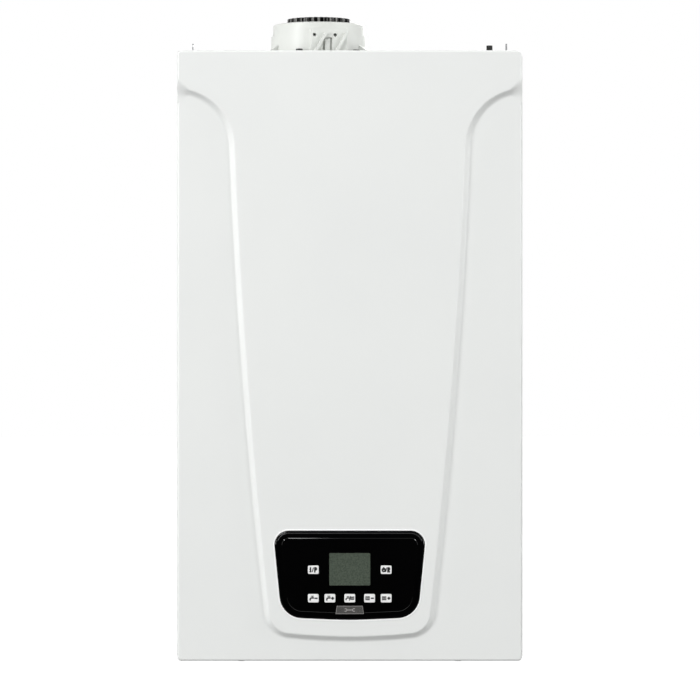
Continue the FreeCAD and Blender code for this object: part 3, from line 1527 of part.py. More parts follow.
pieces = {
    "back_frame": back_frame(),
    "right_side_panel": side_panel(),
    "left_side_panel": mirrored(side_panel()),
    "top_panel": top_panel(),
    "bottom_plate": bottom_plate(),
    "front_cover": front_cover(),
    "cover_screws": cover_screws(),
    "flue_turret": flue_turret(),
    "flue_gasket": flue_gasket(),
    "flue_screws": flue_screws(),
    "exhaust_duct": exhaust_duct(),
    "flue_seal": flue_seal(),
    "heat_exchanger": heat_exchanger(),
    "exchanger_brackets": exchanger_brackets(),
    "burner_door": burner_door(),
    "door_nuts": door_nuts(),
    "burner_tube": burner_tube(),
    "ignition_electrode": ignition_electrode(),
    "burner_manifold": burner_manifold(),
    "fan_housing": fan_housing(),
    "fan_motor": fan_motor(),
    "fan_impeller": fan_impeller(),
    "gas_mixer": mixer(),
    "air_silencer": air_silencer(),
    "gas_valve": gas_valve(),
    "gas_feed_tube": gas_feed_tube(),
    "gas_pipe": gas_pipe(),
    "expansion_vessel": expansion_vessel(),
    "vessel_pipe": vessel_pipe(),
    "charge_valve": charge_valve(),
    "charge_cap": charge_cap(),
    "service_tails": service_tails(),
    "return_block": water_block(),
    "flow_block": mirrored(water_block()),
    "filling_knob": tap_knob(),
    "relief_knob": mirrored(tap_knob()),
    "diverter_motor": diverter_motor(),
    "return_pipe": water_pipe(),
    "flow_pipe": mirrored(water_pipe()),
    "plate_exchanger": plate_exchanger(),
    "pump_housing": pump_housing(),
    "pump_motor": pump_motor(),
    "pump_rotor": pump_rotor(),
    "pressure_gauge": pressure_gauge(),
    "gauge_needle": gauge_needle(),
    "condensate_trap": condensate_trap(),
    "cable_gland": cable_gland(),
    "control_housing": control_housing(),
    "hinge_brackets": hinge_brackets(),
    "fascia": fascia(),
    "display_window": display_window(),
    "control_board": control_board(),
    "service_flap": service_flap(),
}
key_names = ("button_info", "button_power", "button_water_less", "button_water_more", "button_mode",
             "button_heating_less", "button_heating_more")
for name, place in zip(key_names, key_places()):
    pieces[name] = key(place)

os.makedirs("parts", exist_ok=True)
for name, shape in pieces.items():
    shape.translate(V(0, 0, -hook_height))
    shape.exportStep("parts/" + name + ".step")
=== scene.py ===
import json
import math

import bmesh
import bpy
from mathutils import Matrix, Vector


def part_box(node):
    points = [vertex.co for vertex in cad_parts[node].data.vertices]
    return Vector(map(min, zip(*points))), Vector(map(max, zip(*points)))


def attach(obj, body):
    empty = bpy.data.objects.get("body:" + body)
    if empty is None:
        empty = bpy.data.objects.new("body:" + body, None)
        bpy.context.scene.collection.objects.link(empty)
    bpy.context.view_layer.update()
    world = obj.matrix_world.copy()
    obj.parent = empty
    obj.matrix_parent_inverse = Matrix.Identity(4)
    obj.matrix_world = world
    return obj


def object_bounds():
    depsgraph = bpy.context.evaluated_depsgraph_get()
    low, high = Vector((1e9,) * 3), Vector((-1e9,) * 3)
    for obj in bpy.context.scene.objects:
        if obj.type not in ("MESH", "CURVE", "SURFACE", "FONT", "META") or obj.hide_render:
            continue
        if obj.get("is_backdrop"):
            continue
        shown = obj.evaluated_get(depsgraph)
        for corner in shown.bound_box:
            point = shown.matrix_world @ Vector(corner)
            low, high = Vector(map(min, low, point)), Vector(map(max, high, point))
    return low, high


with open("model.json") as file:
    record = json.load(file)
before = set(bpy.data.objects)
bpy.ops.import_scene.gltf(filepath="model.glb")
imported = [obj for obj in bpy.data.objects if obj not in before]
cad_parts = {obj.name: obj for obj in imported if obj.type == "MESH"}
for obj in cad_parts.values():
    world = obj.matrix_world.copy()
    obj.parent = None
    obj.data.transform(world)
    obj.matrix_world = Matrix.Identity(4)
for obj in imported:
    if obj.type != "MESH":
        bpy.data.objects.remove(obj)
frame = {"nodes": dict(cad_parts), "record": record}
nodes = frame["nodes"]
cadLow, cadHigh = (Vector(corner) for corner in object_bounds())
mm = 0.001
print("frame loaded:", len(nodes), "CAD nodes")


# Camera: level and square to the front, far away with a long lens
cameraSettings = {
    "axis": (0.0003, -0.3594),  # x and height of the optical axis
    "distance": 4.0,            # in front of the pressed shield
    "shieldPlane": -0.297,
    "lens": 179.6,
    "sensor": 36.0,
    "clipEnd": 100,
}


def makeCamera(s):
    data = bpy.data.cameras.new("frontCamera")
    data.lens = s["lens"]
    data.sensor_width = s["sensor"]
    data.clip_end = s["clipEnd"]
    camera = bpy.data.objects.new("frontCamera", data)
    camera.location = (s["axis"][0], s["shieldPlane"] - s["distance"], s["axis"][1])
    camera.rotation_euler = (math.radians(90), 0, 0)
    bpy.context.scene.collection.objects.link(camera)
    bpy.context.scene.camera = camera


makeCamera(cameraSettings)
print("camera set")


# Shared effects, each one a node group that is built once
def newGroup(name, inputs, outputs):
    group = bpy.data.node_groups.new(name, "ShaderNodeTree")
    for way, sockets in (("INPUT", inputs), ("OUTPUT", outputs)):
        for label, kind in sockets.items():
            group.interface.new_socket(label, in_out=way, socket_type="NodeSocket" + kind)
    return group, group.nodes.new("NodeGroupInput"), group.nodes.new("NodeGroupOutput")


def setSpan(ramp, low, high):
    ramp.inputs["From Min"].default_value = low
    ramp.inputs["From Max"].default_value = high


grainSettings = {"fineDetail": 3, "slowScale": 9, "slowDetail": 4, "slowSpan": (0.3, 0.7)}


def makeGrain(s):
    # fine noise for the bump, and a slow drift of the roughness
    group, start, end = newGroup(
        "surfaceGrain",
        {"Scale": "Float", "Stretch": "Vector", "Rough Low": "Float", "Rough High": "Float"},
        {"Height": "Float", "Roughness": "Float"})
    add, link = group.nodes.new, group.links.new
    place = add("ShaderNodeTexCoord")
    stretch = add("ShaderNodeMapping")
    fine = add("ShaderNodeTexNoise")
    slow = add("ShaderNodeTexNoise")
    spread = add("ShaderNodeMapRange")
    link(place.outputs["Object"], stretch.inputs["Vector"])
    link(start.outputs["Stretch"], stretch.inputs["Scale"])
    link(stretch.outputs["Vector"], fine.inputs["Vector"])
    link(start.outputs["Scale"], fine.inputs["Scale"])
    fine.inputs["Detail"].default_value = s["fineDetail"]
    link(place.outputs["Object"], slow.inputs["Vector"])
    slow.inputs["Scale"].default_value = s["slowScale"]
    slow.inputs["Detail"].default_value = s["slowDetail"]
    link(slow.outputs["Fac"], spread.inputs["Value"])
    setSpan(spread, *s["slowSpan"])
    link(start.outputs["Rough Low"], spread.inputs["To Min"])
    link(start.outputs["Rough High"], spread.inputs["To Max"])
    link(fine.outputs["Fac"], end.inputs["Height"])
    link(spread.outputs["Result"], end.inputs["Roughness"])
    return group


mottleSettings = {"detail": 5, "span": (0.32, 0.68)}


def makeMottle(s):
    # slow drift between two near colours
    group, start, end = newGroup(
        "colourDrift",
        {"Color": "Color", "Other": "Color", "Scale": "Float", "Stretch": "Vector"},
        {"Color": "Color"})
    add, link = group.nodes.new, group.links.new
    place = add("ShaderNodeTexCoord")
    stretch = add("ShaderNodeMapping")
    noise = add("ShaderNodeTexNoise")
    ramp = add("ShaderNodeMapRange")
    mix = add("ShaderNodeMix")
    mix.data_type = "RGBA"
    link(place.outputs["Object"], stretch.inputs["Vector"])
    link(start.outputs["Stretch"], stretch.inputs["Scale"])
    link(stretch.outputs["Vector"], noise.inputs["Vector"])
    link(start.outputs["Scale"], noise.inputs["Scale"])
    noise.inputs["Detail"].default_value = s["detail"]
    link(noise.outputs["Fac"], ramp.inputs["Value"])
    setSpan(ramp, *s["span"])
    link(ramp.outputs["Result"], mix.inputs["Factor"])
    link(start.outputs["Color"], mix.inputs["A"])
    link(start.outputs["Other"], mix.inputs["B"])
    link(mix.outputs["Result"], end.inputs["Color"])
    return group


def makeSpangle():
    # flat crystals of hot-dip zinc
    group, start, end = newGroup(
        "zincSpangle", {"Scale": "Float", "Dark": "Color", "Light": "Color"}, {"Color": "Color"})
    add, link = group.nodes.new, group.links.new
    place = add("ShaderNodeTexCoord")
    cells = add("ShaderNodeTexVoronoi")
    split = add("ShaderNodeSeparateColor")
    mix = add("ShaderNodeMix")
    mix.data_type = "RGBA"
    link(place.outputs["Object"], cells.inputs["Vector"])
    link(start.outputs["Scale"], cells.inputs["Scale"])
    link(cells.outputs["Color"], split.inputs["Color"])
    link(split.outputs["Red"], mix.inputs["Factor"])
    link(start.outputs["Dark"], mix.inputs["A"])
    link(start.outputs["Light"], mix.inputs["B"])
    link(mix.outputs["Result"], end.inputs["Color"])
    return group


sheenBandSettings = {"scale": 1, "detail": 1, "span": (0.50, 0.64)}


def makeSheenBands(s):
    # painted highlights: uneven light stripes round an upright axis, standing in for reflections on
    # ribs
    group, start, end = newGroup(
        "ringSheenBands", {"Centre": "Vector", "Count": "Float"}, {"Fac": "Float"})
    add, link = group.nodes.new, group.links.new
    place = add("ShaderNodeTexCoord")
    shift = add("ShaderNodeVectorMath")
    shift.operation = "SUBTRACT"
    around = add("ShaderNodeTexGradient")
    around.gradient_type = "RADIAL"
    count = add("ShaderNodeMath")
    count.operation = "MULTIPLY"
    noise = add("ShaderNodeTexNoise")
    noise.noise_dimensions = "1D"
    noise.inputs["Scale"].default_value = s["scale"]
    noise.inputs["Detail"].default_value = s["detail"]
    ramp = add("ShaderNodeMapRange")
    setSpan(ramp, *s["span"])
    link(place.outputs["Object"], shift.inputs[0])
    link(start.outputs["Centre"], shift.inputs[1])
    link(shift.outputs["Vector"], around.inputs["Vector"])
    link(around.outputs["Fac"], count.inputs[0])
    link(start.outputs["Count"], count.inputs[1])
    link(count.outputs["Value"], noise.inputs["W"])
    link(noise.outputs["Fac"], ramp.inputs["Value"])
    link(ramp.outputs["Result"], end.inputs["Fac"])
    return group


grainGroup = makeGrain(grainSettings)
mottleGroup = makeMottle(mottleSettings)
spangleGroup = makeSpangle()
sheenBandsGroup = makeSheenBands(sheenBandSettings)
print("shared effects made")

# One row per finish: colours in linear light, bump in millimetres
finishes = {
    "whitePaint": {"color": (0.83, 0.845, 0.83), "other": (0.815, 0.83, 0.817),
                   "rough": (0.28, 0.34), "grain": 420, "bump": 0.008},
    # painted highlight: the cover's white paint made brighter on the hem, for the bright line of light
    # round the cut-out
    "hemHighlightPaint": {"color": (0.97, 0.975, 0.97), "other": (0.955, 0.96, 0.955),
                 "rough": (0.28, 0.34), "grain": 700, "bump": 0.004},
    "whitePlastic": {"color": (0.655, 0.67, 0.642), "other": (0.638, 0.652, 0.626),
                     "rough": (0.36, 0.46), "grain": 900, "bump": 0.006},
    "keyPlastic": {"color": (0.90, 0.90, 0.89), "other": (0.87, 0.875, 0.865),
                   "rough": (0.38, 0.46), "grain": 1500, "bump": 0.004},
    "glossBlack": {"color": (0.0010, 0.0010, 0.0011), "other": (0.0006, 0.0006, 0.0007),
                   "rough": (0.05, 0.09), "grain": 700, "bump": 0.001, "specular": 0.45},
    # painted highlight: a grey lighter than the panel's black stands in for the light caught by its
    # rounded top edge
    "edgeHighlightGrey": {"color": (0.026, 0.026, 0.027), "other": (0.020, 0.020, 0.021),
                  "rough": (0.20, 0.28), "grain": 900, "bump": 0.002},
    "flapGrey": {"color": (0.030, 0.029, 0.028), "other": (0.024, 0.023, 0.022),
                 "rough": (0.40, 0.52), "grain": 1400, "bump": 0.008},
    "hatchGrey": {"color": (0.13, 0.127, 0.124), "other": (0.11, 0.108, 0.105),
                  "rough": (0.42, 0.50), "grain": 1200, "bump": 0.003},
    "markWhite": {"color": (0.40, 0.39, 0.38), "other": (0.34, 0.33, 0.32),
                  "rough": (0.42, 0.50), "grain": 1200, "bump": 0.003},
    "markInk": {"color": (0.012, 0.012, 0.013), "other": (0.020, 0.020, 0.021),
                "rough": (0.48, 0.58), "grain": 1500, "bump": 0.003},
    "displayGlass": {"color": (0.084, 0.104, 0.080), "other": (0.054, 0.068, 0.052),
                     "rough": (0.22, 0.30), "grain": 1800, "bump": 0.004,
                     "toneScale": 520, "specular": 0.35},
    "blackRubber": {"color": (0.014, 0.014, 0.014), "other": (0.022, 0.022, 0.021),
                    "rough": (0.50, 0.66), "grain": 700, "bump": 0.020, "toneScale": 60},
    "blackPlastic": {"color": (0.018, 0.018, 0.019), "other": (0.026, 0.026, 0.027),
                     "rough": (0.42, 0.54), "grain": 900, "bump": 0.012},
    "greyPlastic": {"color": (0.30, 0.31, 0.32), "other": (0.27, 0.28, 0.29),
                    "rough": (0.42, 0.52), "grain": 900, "bump": 0.010},
    "greenBoard": {"color": (0.020, 0.120, 0.045), "other": (0.028, 0.160, 0.062),
                   "rough": (0.30, 0.42), "grain": 500, "bump": 0.010,
                   "toneScale": 260, "toneStretch": (1, 1, 0.12)},
    "screwSteel": {"color": (0.50, 0.50, 0.49), "other": (0.40, 0.40, 0.40),
                   "rough": (0.28, 0.42), "grain": 1300, "bump": 0.008, "metal": 1.0},
    "darkScrew": {"color": (0.020, 0.020, 0.020), "other": (0.040, 0.039, 0.038),
                  "rough": (0.30, 0.45), "grain": 1300, "bump": 0.008},
    "stainless": {"color": (0.60, 0.60, 0.59), "other": (0.52, 0.52, 0.52),
                  "rough": (0.24, 0.36), "grain": 160, "stretch": (1, 1, 14), "bump": 0.008,
                  "metal": 1.0},
    "castAluminium": {"color": (0.58, 0.58, 0.57), "other": (0.46, 0.46, 0.46),
                      "rough": (0.45, 0.60), "grain": 520, "bump": 0.045, "metal": 1.0},
    "motorPaint": {"color": (0.030, 0.034, 0.042), "other": (0.042, 0.047, 0.056),
                   "rough": (0.38, 0.50), "grain": 620, "bump": 0.018},
    "wheelMetal": {"color": (0.55, 0.55, 0.55), "other": (0.48, 0.48, 0.48),
                   "rough": (0.30, 0.42), "grain": 800, "bump": 0.010, "metal": 1.0},
    "wheelPlastic": {"color": (0.60, 0.57, 0.48), "other": (0.54, 0.51, 0.43),
                     "rough": (0.40, 0.52), "grain": 800, "bump": 0.010},
    "vesselRed": {"color": (0.36, 0.030, 0.022), "other": (0.30, 0.024, 0.018),
                  "rough": (0.34, 0.44), "grain": 420, "bump": 0.016},
    "copperPipe": {"color": (0.80, 0.38, 0.24), "other": (0.56, 0.25, 0.16),
                   "rough": (0.26, 0.40), "grain": 240, "bump": 0.008, "metal": 1.0, "toneScale": 14},
    "yellowGas": {"color": (0.70, 0.48, 0.08), "other": (0.60, 0.41, 0.06),
                  "rough": (0.32, 0.42), "grain": 600, "bump": 0.008},
    "brass": {"color": (0.72, 0.52, 0.22), "other": (0.56, 0.39, 0.16),
              "rough": (0.26, 0.40), "grain": 800, "bump": 0.010, "metal": 1.0, "toneScale": 24},
    "ceramic": {"color": (0.82, 0.80, 0.74), "other": (0.76, 0.74, 0.68),
                "rough": (0.30, 0.42), "grain": 900, "bump": 0.010},
    "dialFace": {"color": (0.86, 0.86, 0.84), "other": (0.82, 0.82, 0.80),
                 "rough": (0.40, 0.50), "grain": 1200, "bump": 0.003},
    "dialGreen": {"color": (0.050, 0.30, 0.080), "other": (0.042, 0.26, 0.070),
                  "rough": (0.40, 0.50), "grain": 1200, "bump": 0.003},
    "needleRed": {"color": (0.55, 0.030, 0.022), "other": (0.48, 0.026, 0.020),
                  "rough": (0.40, 0.50), "grain": 1200, "bump": 0.004},
    "knobBlue": {"color": (0.020, 0.085, 0.34), "other": (0.016, 0.070, 0.28),
                 "rough": (0.38, 0.48), "grain": 900, "bump": 0.012},
    "knobRed": {"color": (0.46, 0.024, 0.020), "other": (0.38, 0.020, 0.016),
                "rough": (0.38, 0.48), "grain": 900, "bump": 0.012},
}


def placeGroup(tree, group, values):
    node = tree.nodes.new("ShaderNodeGroup")
    node.node_tree = group
    for label, value in values.items():
        node.inputs[label].default_value = value
    return node


def newMaterial(name, s, makeColor):
    material = bpy.data.materials.new(name)
    material.use_nodes = True
    tree = material.node_tree
    link = tree.links.new
    shader = tree.nodes["Principled BSDF"]
    shader.inputs["Metallic"].default_value = s.get("metal", 0.0)
    shader.inputs["Specular IOR Level"].default_value = s.get("specular", 0.5)
    bump = tree.nodes.new("ShaderNodeBump")
    bump.inputs["Distance"].default_value = s["bump"] * mm
    grain = placeGroup(tree, grainGroup, {
        "Scale": s["grain"], "Stretch": s.get("stretch", (1, 1, 1)),
        "Rough Low": s["rough"][0], "Rough High": s["rough"][1]})
    link(makeColor(tree, s), shader.inputs["Base Color"])
    link(grain.outputs["Roughness"], shader.inputs["Roughness"])
    link(grain.outputs["Height"], bump.inputs["Height"])
    link(bump.outputs["Normal"], shader.inputs["Normal"])
    return material


def mottleColor(tree, s):
    mottle = placeGroup(tree, mottleGroup, {
        "Color": (*s["color"], 1), "Other": (*s["other"], 1),
        "Scale": s.get("toneScale", 7), "Stretch": s.get("toneStretch", (1, 1, 1))})
    return mottle.outputs["Color"]


zincSettings = {
    "scale": 120, "dark": (0.53, 0.54, 0.55), "light": (0.605, 0.615, 0.62),
    "rough": (0.34, 0.46), "grain": 300, "bump": 0.012, "metal": 1.0,
}


def spangleColor(tree, s):
    spangle = placeGroup(tree, spangleGroup, {
        "Scale": s["scale"], "Dark": (*s["dark"], 1), "Light": (*s["light"], 1)})
    return spangle.outputs["Color"]


# painted highlights: the light colour gives the shining stripes of the seal's ribs
sealSettings = {
    "count": 62, "dark": (0.002, 0.002, 0.002), "light": (0.26, 0.26, 0.25),
    "rough": (0.24, 0.36), "grain": 700, "bump": 0.010, "specular": 0.15,
}


def sheenStripeColor(tree, s):
    # painted highlights: black rubber with light stripes put into its colour round its upright wall,
    # in place of reflections on its ribs
    low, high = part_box("flue_seal")
    bands = placeGroup(tree, sheenBandsGroup, {"Centre": (low + high) / 2, "Count": s["count"]})
    mix = tree.nodes.new("ShaderNodeMix")
    mix.data_type = "RGBA"
    mix.inputs["A"].default_value = (*s["dark"], 1)
    mix.inputs["B"].default_value = (*s["light"], 1)
    tree.links.new(bands.outputs["Fac"], mix.inputs["Factor"])
    return mix.outputs["Result"]


materials = {name: newMaterial(name, row, mottleColor) for name, row in finishes.items()}
materials["zincSheet"] = newMaterial("zincSheet", zincSettings, spangleColor)
materials["sealRubber"] = newMaterial("sealRubber", sealSettings, sheenStripeColor)
print("finishes:", len(materials))

# Which node takes which finish
nodeFinish = {
    "whitePaint": ["front_cover", "right_side_panel", "left_side_panel", "top_panel"],
    "zincSheet": ["back_frame", "bottom_plate", "exchanger_brackets", "hinge_brackets"],
    "whitePlastic": ["flue_turret"],
    "glossBlack": ["fascia"],
    "displayGlass": ["display_window"],
    "flapGrey": ["service_flap"],
    "keyPlastic": ["button_info", "button_power", "button_water_less", "button_water_more",
                   "button_mode", "button_heating_less", "button_heating_more"],
    "blackRubber": ["flue_gasket", "charge_cap"],
    "sealRubber": ["flue_seal"],
    "blackPlastic": ["control_housing", "gas_mixer", "cable_gland", "diverter_motor"],
    "greyPlastic": ["air_silencer", "condensate_trap", "exhaust_duct"],
    "greenBoard": ["control_board"],
    "screwSteel": ["cover_screws", "door_nuts"],
    "darkScrew": ["flue_screws"],
    "stainless": ["heat_exchanger", "burner_tube", "plate_exchanger"],
    "castAluminium": ["burner_door", "burner_manifold", "fan_housing", "gas_valve"],
    "motorPaint": ["fan_motor", "pump_motor"],
    "wheelMetal": ["fan_impeller"],
    "wheelPlastic": ["pump_rotor"],
    "vesselRed": ["expansion_vessel"],
    "copperPipe": ["vessel_pipe", "return_pipe", "flow_pipe", "gas_feed_tube"],
    "yellowGas": ["gas_pipe"],
    "brass": ["charge_valve", "service_tails", "return_block", "flow_block", "pump_housing"],
    "ceramic": ["ignition_electrode"],
    "dialFace": ["pressure_gauge"],
    "needleRed": ["gauge_needle"],
    "knobBlue": ["filling_knob"],
    "knobRed": ["relief_knob"],
}


def dressNodes():
    dressed = 0
    for finish, names in nodeFinish.items():
        for name in names:
            mesh = nodes[name].data
            mesh.materials.clear()
            mesh.materials.append(materials[finish])
            dressed += 1
    bare = sorted(set(nodes) - {name for names in nodeFinish.values() for name in names})
    print("dressed", dressed, "nodes, bare:", bare)


dressNodes()


# Thin printed or moulded marks, drawn flat in x and z and sunk a little into what carries them
def strokeFaces(points, width):
    # one quad per run, a little longer than the run so that corners close
    faces = []
    for (x0, z0), (x1, z1) in zip(points, points[1:]):
        length = math.hypot(x1 - x0, z1 - z0)
        ux, uz = (x1 - x0) / length, (z1 - z0) / length
        half = width / 2
        x0, z0, x1, z1 = x0 - ux * half, z0 - uz * half, x1 + ux * half, z1 + uz * half
        faces.append([(x0 + uz * half, z0 - ux * half), (x1 + uz * half, z1 - ux * half),
                      (x1 - uz * half, z1 + ux * half), (x0 - uz * half, z0 + ux * half)])
    return faces


def arcPoints(centre, radius, start, end, steps):
    turn = math.radians(end - start) / steps
    first = math.radians(start)
    return [(centre[0] + radius * math.cos(first + turn * k),
             centre[1] + radius * math.sin(first + turn * k)) for k in range(steps + 1)]


def bandFaces(inner, outer):
    # quads between two lines of the same count
    return [[inner[k], outer[k], outer[k + 1], inner[k + 1]] for k in range(len(inner) - 1)]


def newPiece(name, build, finish, body):
    mesh = bpy.data.meshes.new(name)
    build.to_mesh(mesh)
    build.free()
    mesh.materials.append(materials[finish])
    piece = bpy.data.objects.new(name, mesh)
    bpy.context.scene.collection.objects.link(piece)
    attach(piece, body)
    return piece


def inlay(name, faces, plane, lift, sink, finish, body):
    # plane is an origin with the directions right, up and out
    origin, right, up, out = (Vector(v) for v in plane)
    build = bmesh.new()
    for face in faces:
        flat = [origin + right * (x * mm) + up * (z * mm) for x, z in face]
        front = [build.verts.new(spot + out * (lift * mm)) for spot in flat]
        back = [build.verts.new(spot - out * (sink * mm)) for spot in flat]
        build.faces.new(front)
        build.faces.new(back[::-1])
        for k in range(len(face)):
            j = (k + 1) % len(face)
            build.faces.new((front[j], front[k], back[k], back[j]))
    bmesh.ops.recalc_face_normals(build, faces=build.faces)
    newPiece(name, build, finish, body)


def frontPlane(node):
    # the middle of a node's front, seen square on
    low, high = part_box(node)
    return ((low.x + high.x) / 2, low.y, (low.z + high.z) / 2), (1, 0, 0), (0, 0, 1), (0, -1, 0)


# Keys: a small dark symbol on each white cap
letterBow = [(0, 1.9), (0.9, 1.9), (1.5, 1.4), (1.5, 0.5), (0.9, 0), (0, 0)]
letterStem = [(0, -2.0), (0, 1.9)]
keySettings = {
    "lift": 0.06, "sink": 0.20, "line": 1.38, "thin": 0.7, "spoutSteps": 6,
    "marks": {  # each with its place across the key and its size
        "button_info": [("info", -3.2, 1.15), ("slash", -0.5, 1.1), ("programme", 1.7, 1.15)],
        "button_power": [("power", -2.8, 1.1), ("slash", 0.0, 1.1), ("reset", 2.0, 1.15)],
        "button_water_less": [("tap", -2.4, 1.5), ("minus", 3.1, 1.15)],
        "button_water_more": [("tap", -2.4, 1.5), ("plus", 3.1, 1.15)],
        "button_mode": [("tap", -3.2, 1.3), ("slash", 0.1, 1.1), ("radiator", 2.8, 1.15)],
        "button_heating_less": [("radiator", -2.3, 1.3), ("minus", 3.1, 1.15)],
        "button_heating_more": [("radiator", -2.3, 1.3), ("plus", 3.1, 1.15)],
    },
    "bold": {  # strokes in full width
        "info": [[(0, 0.6), (0, -1.9)], [(0, 1.75), (0, 1.95)]],
        "programme": [letterStem, letterBow],
        "reset": [letterStem, letterBow, [(0.6, 0), (1.5, -2.0)]],
        "power": [arcPoints((0, -0.2), 1.55, 125, 415, 14), [(0, 0.2), (0, 2.0)]],
        "minus": [[(-0.8, 0), (0.8, 0)]],
        "plus": [[(-0.8, 0), (0.8, 0)], [(0, -0.8), (0, 0.8)]],
    },
    "fine": {  # strokes in the thin share of that width
        "info": [[(-0.55, 0.6), (0, 0.6)], [(-0.6, -1.95), (0.6, -1.95)]],
        "slash": [[(-0.5, -1.9), (0.5, 1.9)]],
    },
    "blocks": {  # filled boxes, by two corners
        "tap": [(-1.35, -1.7, -0.2, -0.9), (0.4, -0.3, 2.2, 0.85), (0.55, 0.85, 1.15, 1.35),
                (-0.35, 1.35, 2.05, 1.95)],
        "radiator": [(x - 0.36, -1.7, x + 0.36, 1.8) for x in (-1.5, -0.5, 0.5, 1.5)]
        + [(-1.9, z - 0.3, 1.9, z + 0.3) for z in (-1.1, 1.2)],
    },
    "spouts": {"tap": ((0.4, -0.9), 0.6, 1.75, 90, 180)},  # centre, two radii, two angles
}


def markFaces(mark, s):
    faces = []
    for points in s["bold"].get(mark, []):
        faces += strokeFaces(points, s["line"])
    for points in s["fine"].get(mark, []):
        faces += strokeFaces(points, s["line"] * s["thin"])
    for x0, z0, x1, z1 in s["blocks"].get(mark, []):
        faces.append([(x0, z0), (x1, z0), (x1, z1), (x0, z1)])
    if mark in s["spouts"]:
        centre, inner, outer, start, end = s["spouts"][mark]
        faces += bandFaces(arcPoints(centre, inner, start, end, s["spoutSteps"]),
                           arcPoints(centre, outer, start, end, s["spoutSteps"]))
    return faces


def dressKeys(s):
    for key, marks in s["marks"].items():
        faces = [[(x * size + shift, z * size) for x, z in face]
                 for mark, shift, size in marks for face in markFaces(mark, s)]
        inlay(key + "_mark", faces, frontPlane(key), s["lift"], s["sink"], "markInk",
              key + "_cap")
    print("key symbols:", len(s["marks"]))


dressKeys(keySettings)


# Service flap: raised rim, diagonal hatching and a spanner
flapSettings = {
    "rim": 0.55, "rimSide": 0.66, "rimLift": 0.10, "rimWithin": (0.985, 0.97),
    "pitch": 1.05, "hatch": 0.34, "hatchLift": 0.06, "sink": 0.20, "taper": 1.5,
    "spannerHalf": 6.6, "spannerLift": 0.14, "handleHalf": 0.5, "handleEnd": 3.3,
    "jawEnd": 1.8, "jawInner": (1.05, 55, 305), "jawOuter": (2.0, 42, 318), "jawSteps": 12,
}


def clipToShape(shape, start, end):
    # the part of a line inside a shape whose corners run anticlockwise; no side is parallel to it
    first, last = 0.0, 1.0
    dx, dz = end[0] - start[0], end[1] - start[1]
    for (ax, az), (bx, bz) in zip(shape, shape[1:] + shape[:1]):
        nx, nz = -(bz - az), bx - ax
        side = nx * (start[0] - ax) + nz * (start[1] - az)
        rate = nx * dx + nz * dz
        cross = -side / rate
        first, last = (max(first, cross), last) if rate > 0 else (first, min(last, cross))
    if last <= first:
        return None
    return [(start[0] + dx * t, start[1] + dz * t) for t in (first, last)]


def spannerFaces(s):
    # handle and two open jaws
    half, end = s["handleHalf"], s["spannerHalf"] - s["handleEnd"]
    faces = [[(-end, -half), (end, -half), (end, half), (-end, half)]]
    centre = (s["spannerHalf"] - s["jawEnd"], 0)
    inner = arcPoints(centre, *s["jawInner"], s["jawSteps"])
    outer = arcPoints(centre, *s["jawOuter"], s["jawSteps"])
    for side in (-1, 1):
        faces += [[(side * x, z) for x, z in face][::side] for face in bandFaces(inner, outer)]
    return faces


def dressFlap(s):
    low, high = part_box("service_flap")
    plane = frontPlane("service_flap")
    halfTall = (high.z - low.z) / 2 / mm
    halfLow = (high.x - low.x) / 2 / mm
    halfHigh = halfLow - s["taper"]
    rim, rimSide = s["rim"], s["rimSide"]
    inner = [(-halfLow + rimSide, -halfTall + rim), (halfLow - rimSide, -halfTall + rim),
             (halfHigh - rim, halfTall - rim), (-halfHigh + rim, halfTall - rim)]
    wide, tall = s["rimWithin"]
    edge = [(x * wide, z * tall) for x, z in ((-halfLow, -halfTall), (halfLow, -halfTall),
                                              (halfHigh, halfTall), (-halfHigh, halfTall))]
    inlay("flap_rim", bandFaces(inner + inner[:1], edge + edge[:1]), plane, s["rimLift"], s["sink"],
          "markWhite", "flap")
    hatch = []
    reach = halfLow + halfTall
    count = int(2 * reach / s["pitch"])
    for k in range(count + 1):
        x = -reach + k * s["pitch"]
        line = clipToShape(inner, (x - halfTall, -halfTall), (x + halfTall, halfTall))
        if line and math.dist(*line) > 2 * s["hatch"]:
            hatch += strokeFaces(line, s["hatch"])
    inlay("flap_hatching", hatch, plane, s["hatchLift"], s["sink"], "hatchGrey", "flap")
    inlay("flap_spanner", spannerFaces(s), plane, s["spannerLift"], s["sink"],
          "markWhite", "flap")
    print("service flap dressed,", len(hatch), "hatch lines")


dressFlap(flapSettings)


# Pipe threads on the five tails under the case
threadSettings = {
    "pitch": 1.81, "depth": 0.55, "proud": 0.06, "chamfer": 1.2, "around": 40, "perPitch": 6,
}


def threadSleeve(mount, s):
    x, y, z = mount["pos_m"]
    radius = mount["dims"]["r_mm"] + s["proud"]
    length = mount["dims"]["length_mm"]
    levels = int(length / s["pitch"] * s["perPitch"])
    build = bmesh.new()
    rows = []
    for level in range(levels + 1):
        up = length * level / levels
        full = min(1.0, up / s["chamfer"], (length - up) / s["chamfer"])
        row = []
        for k in range(s["around"]):
            crest = 1 - abs(2 * ((up / s["pitch"] + k / s["around"]) % 1.0) - 1)
            r = (radius - s["depth"] * (1 - crest * full)) * mm
            turn = 2 * math.pi * k / s["around"]
            row.append(build.verts.new((x + r * math.cos(turn), y + r * math.sin(turn),
                                        z + (up - length / 2) * mm)))
        rows.append(row)
    for lower, upper in zip(rows, rows[1:]):
        for k in range(s["around"]):
            j = (k + 1) % s["around"]
            build.faces.new((lower[k], lower[j], upper[j], upper[k]))
    newPiece(mount["name"] + "_thread", build, "brass", "boiler_case")


tails = [mount for mount in frame["record"]["mounts"] if mount["name"].endswith("_tail")]
for tail in tails:
    threadSleeve(tail, threadSettings)
print("threads:", len(tails))


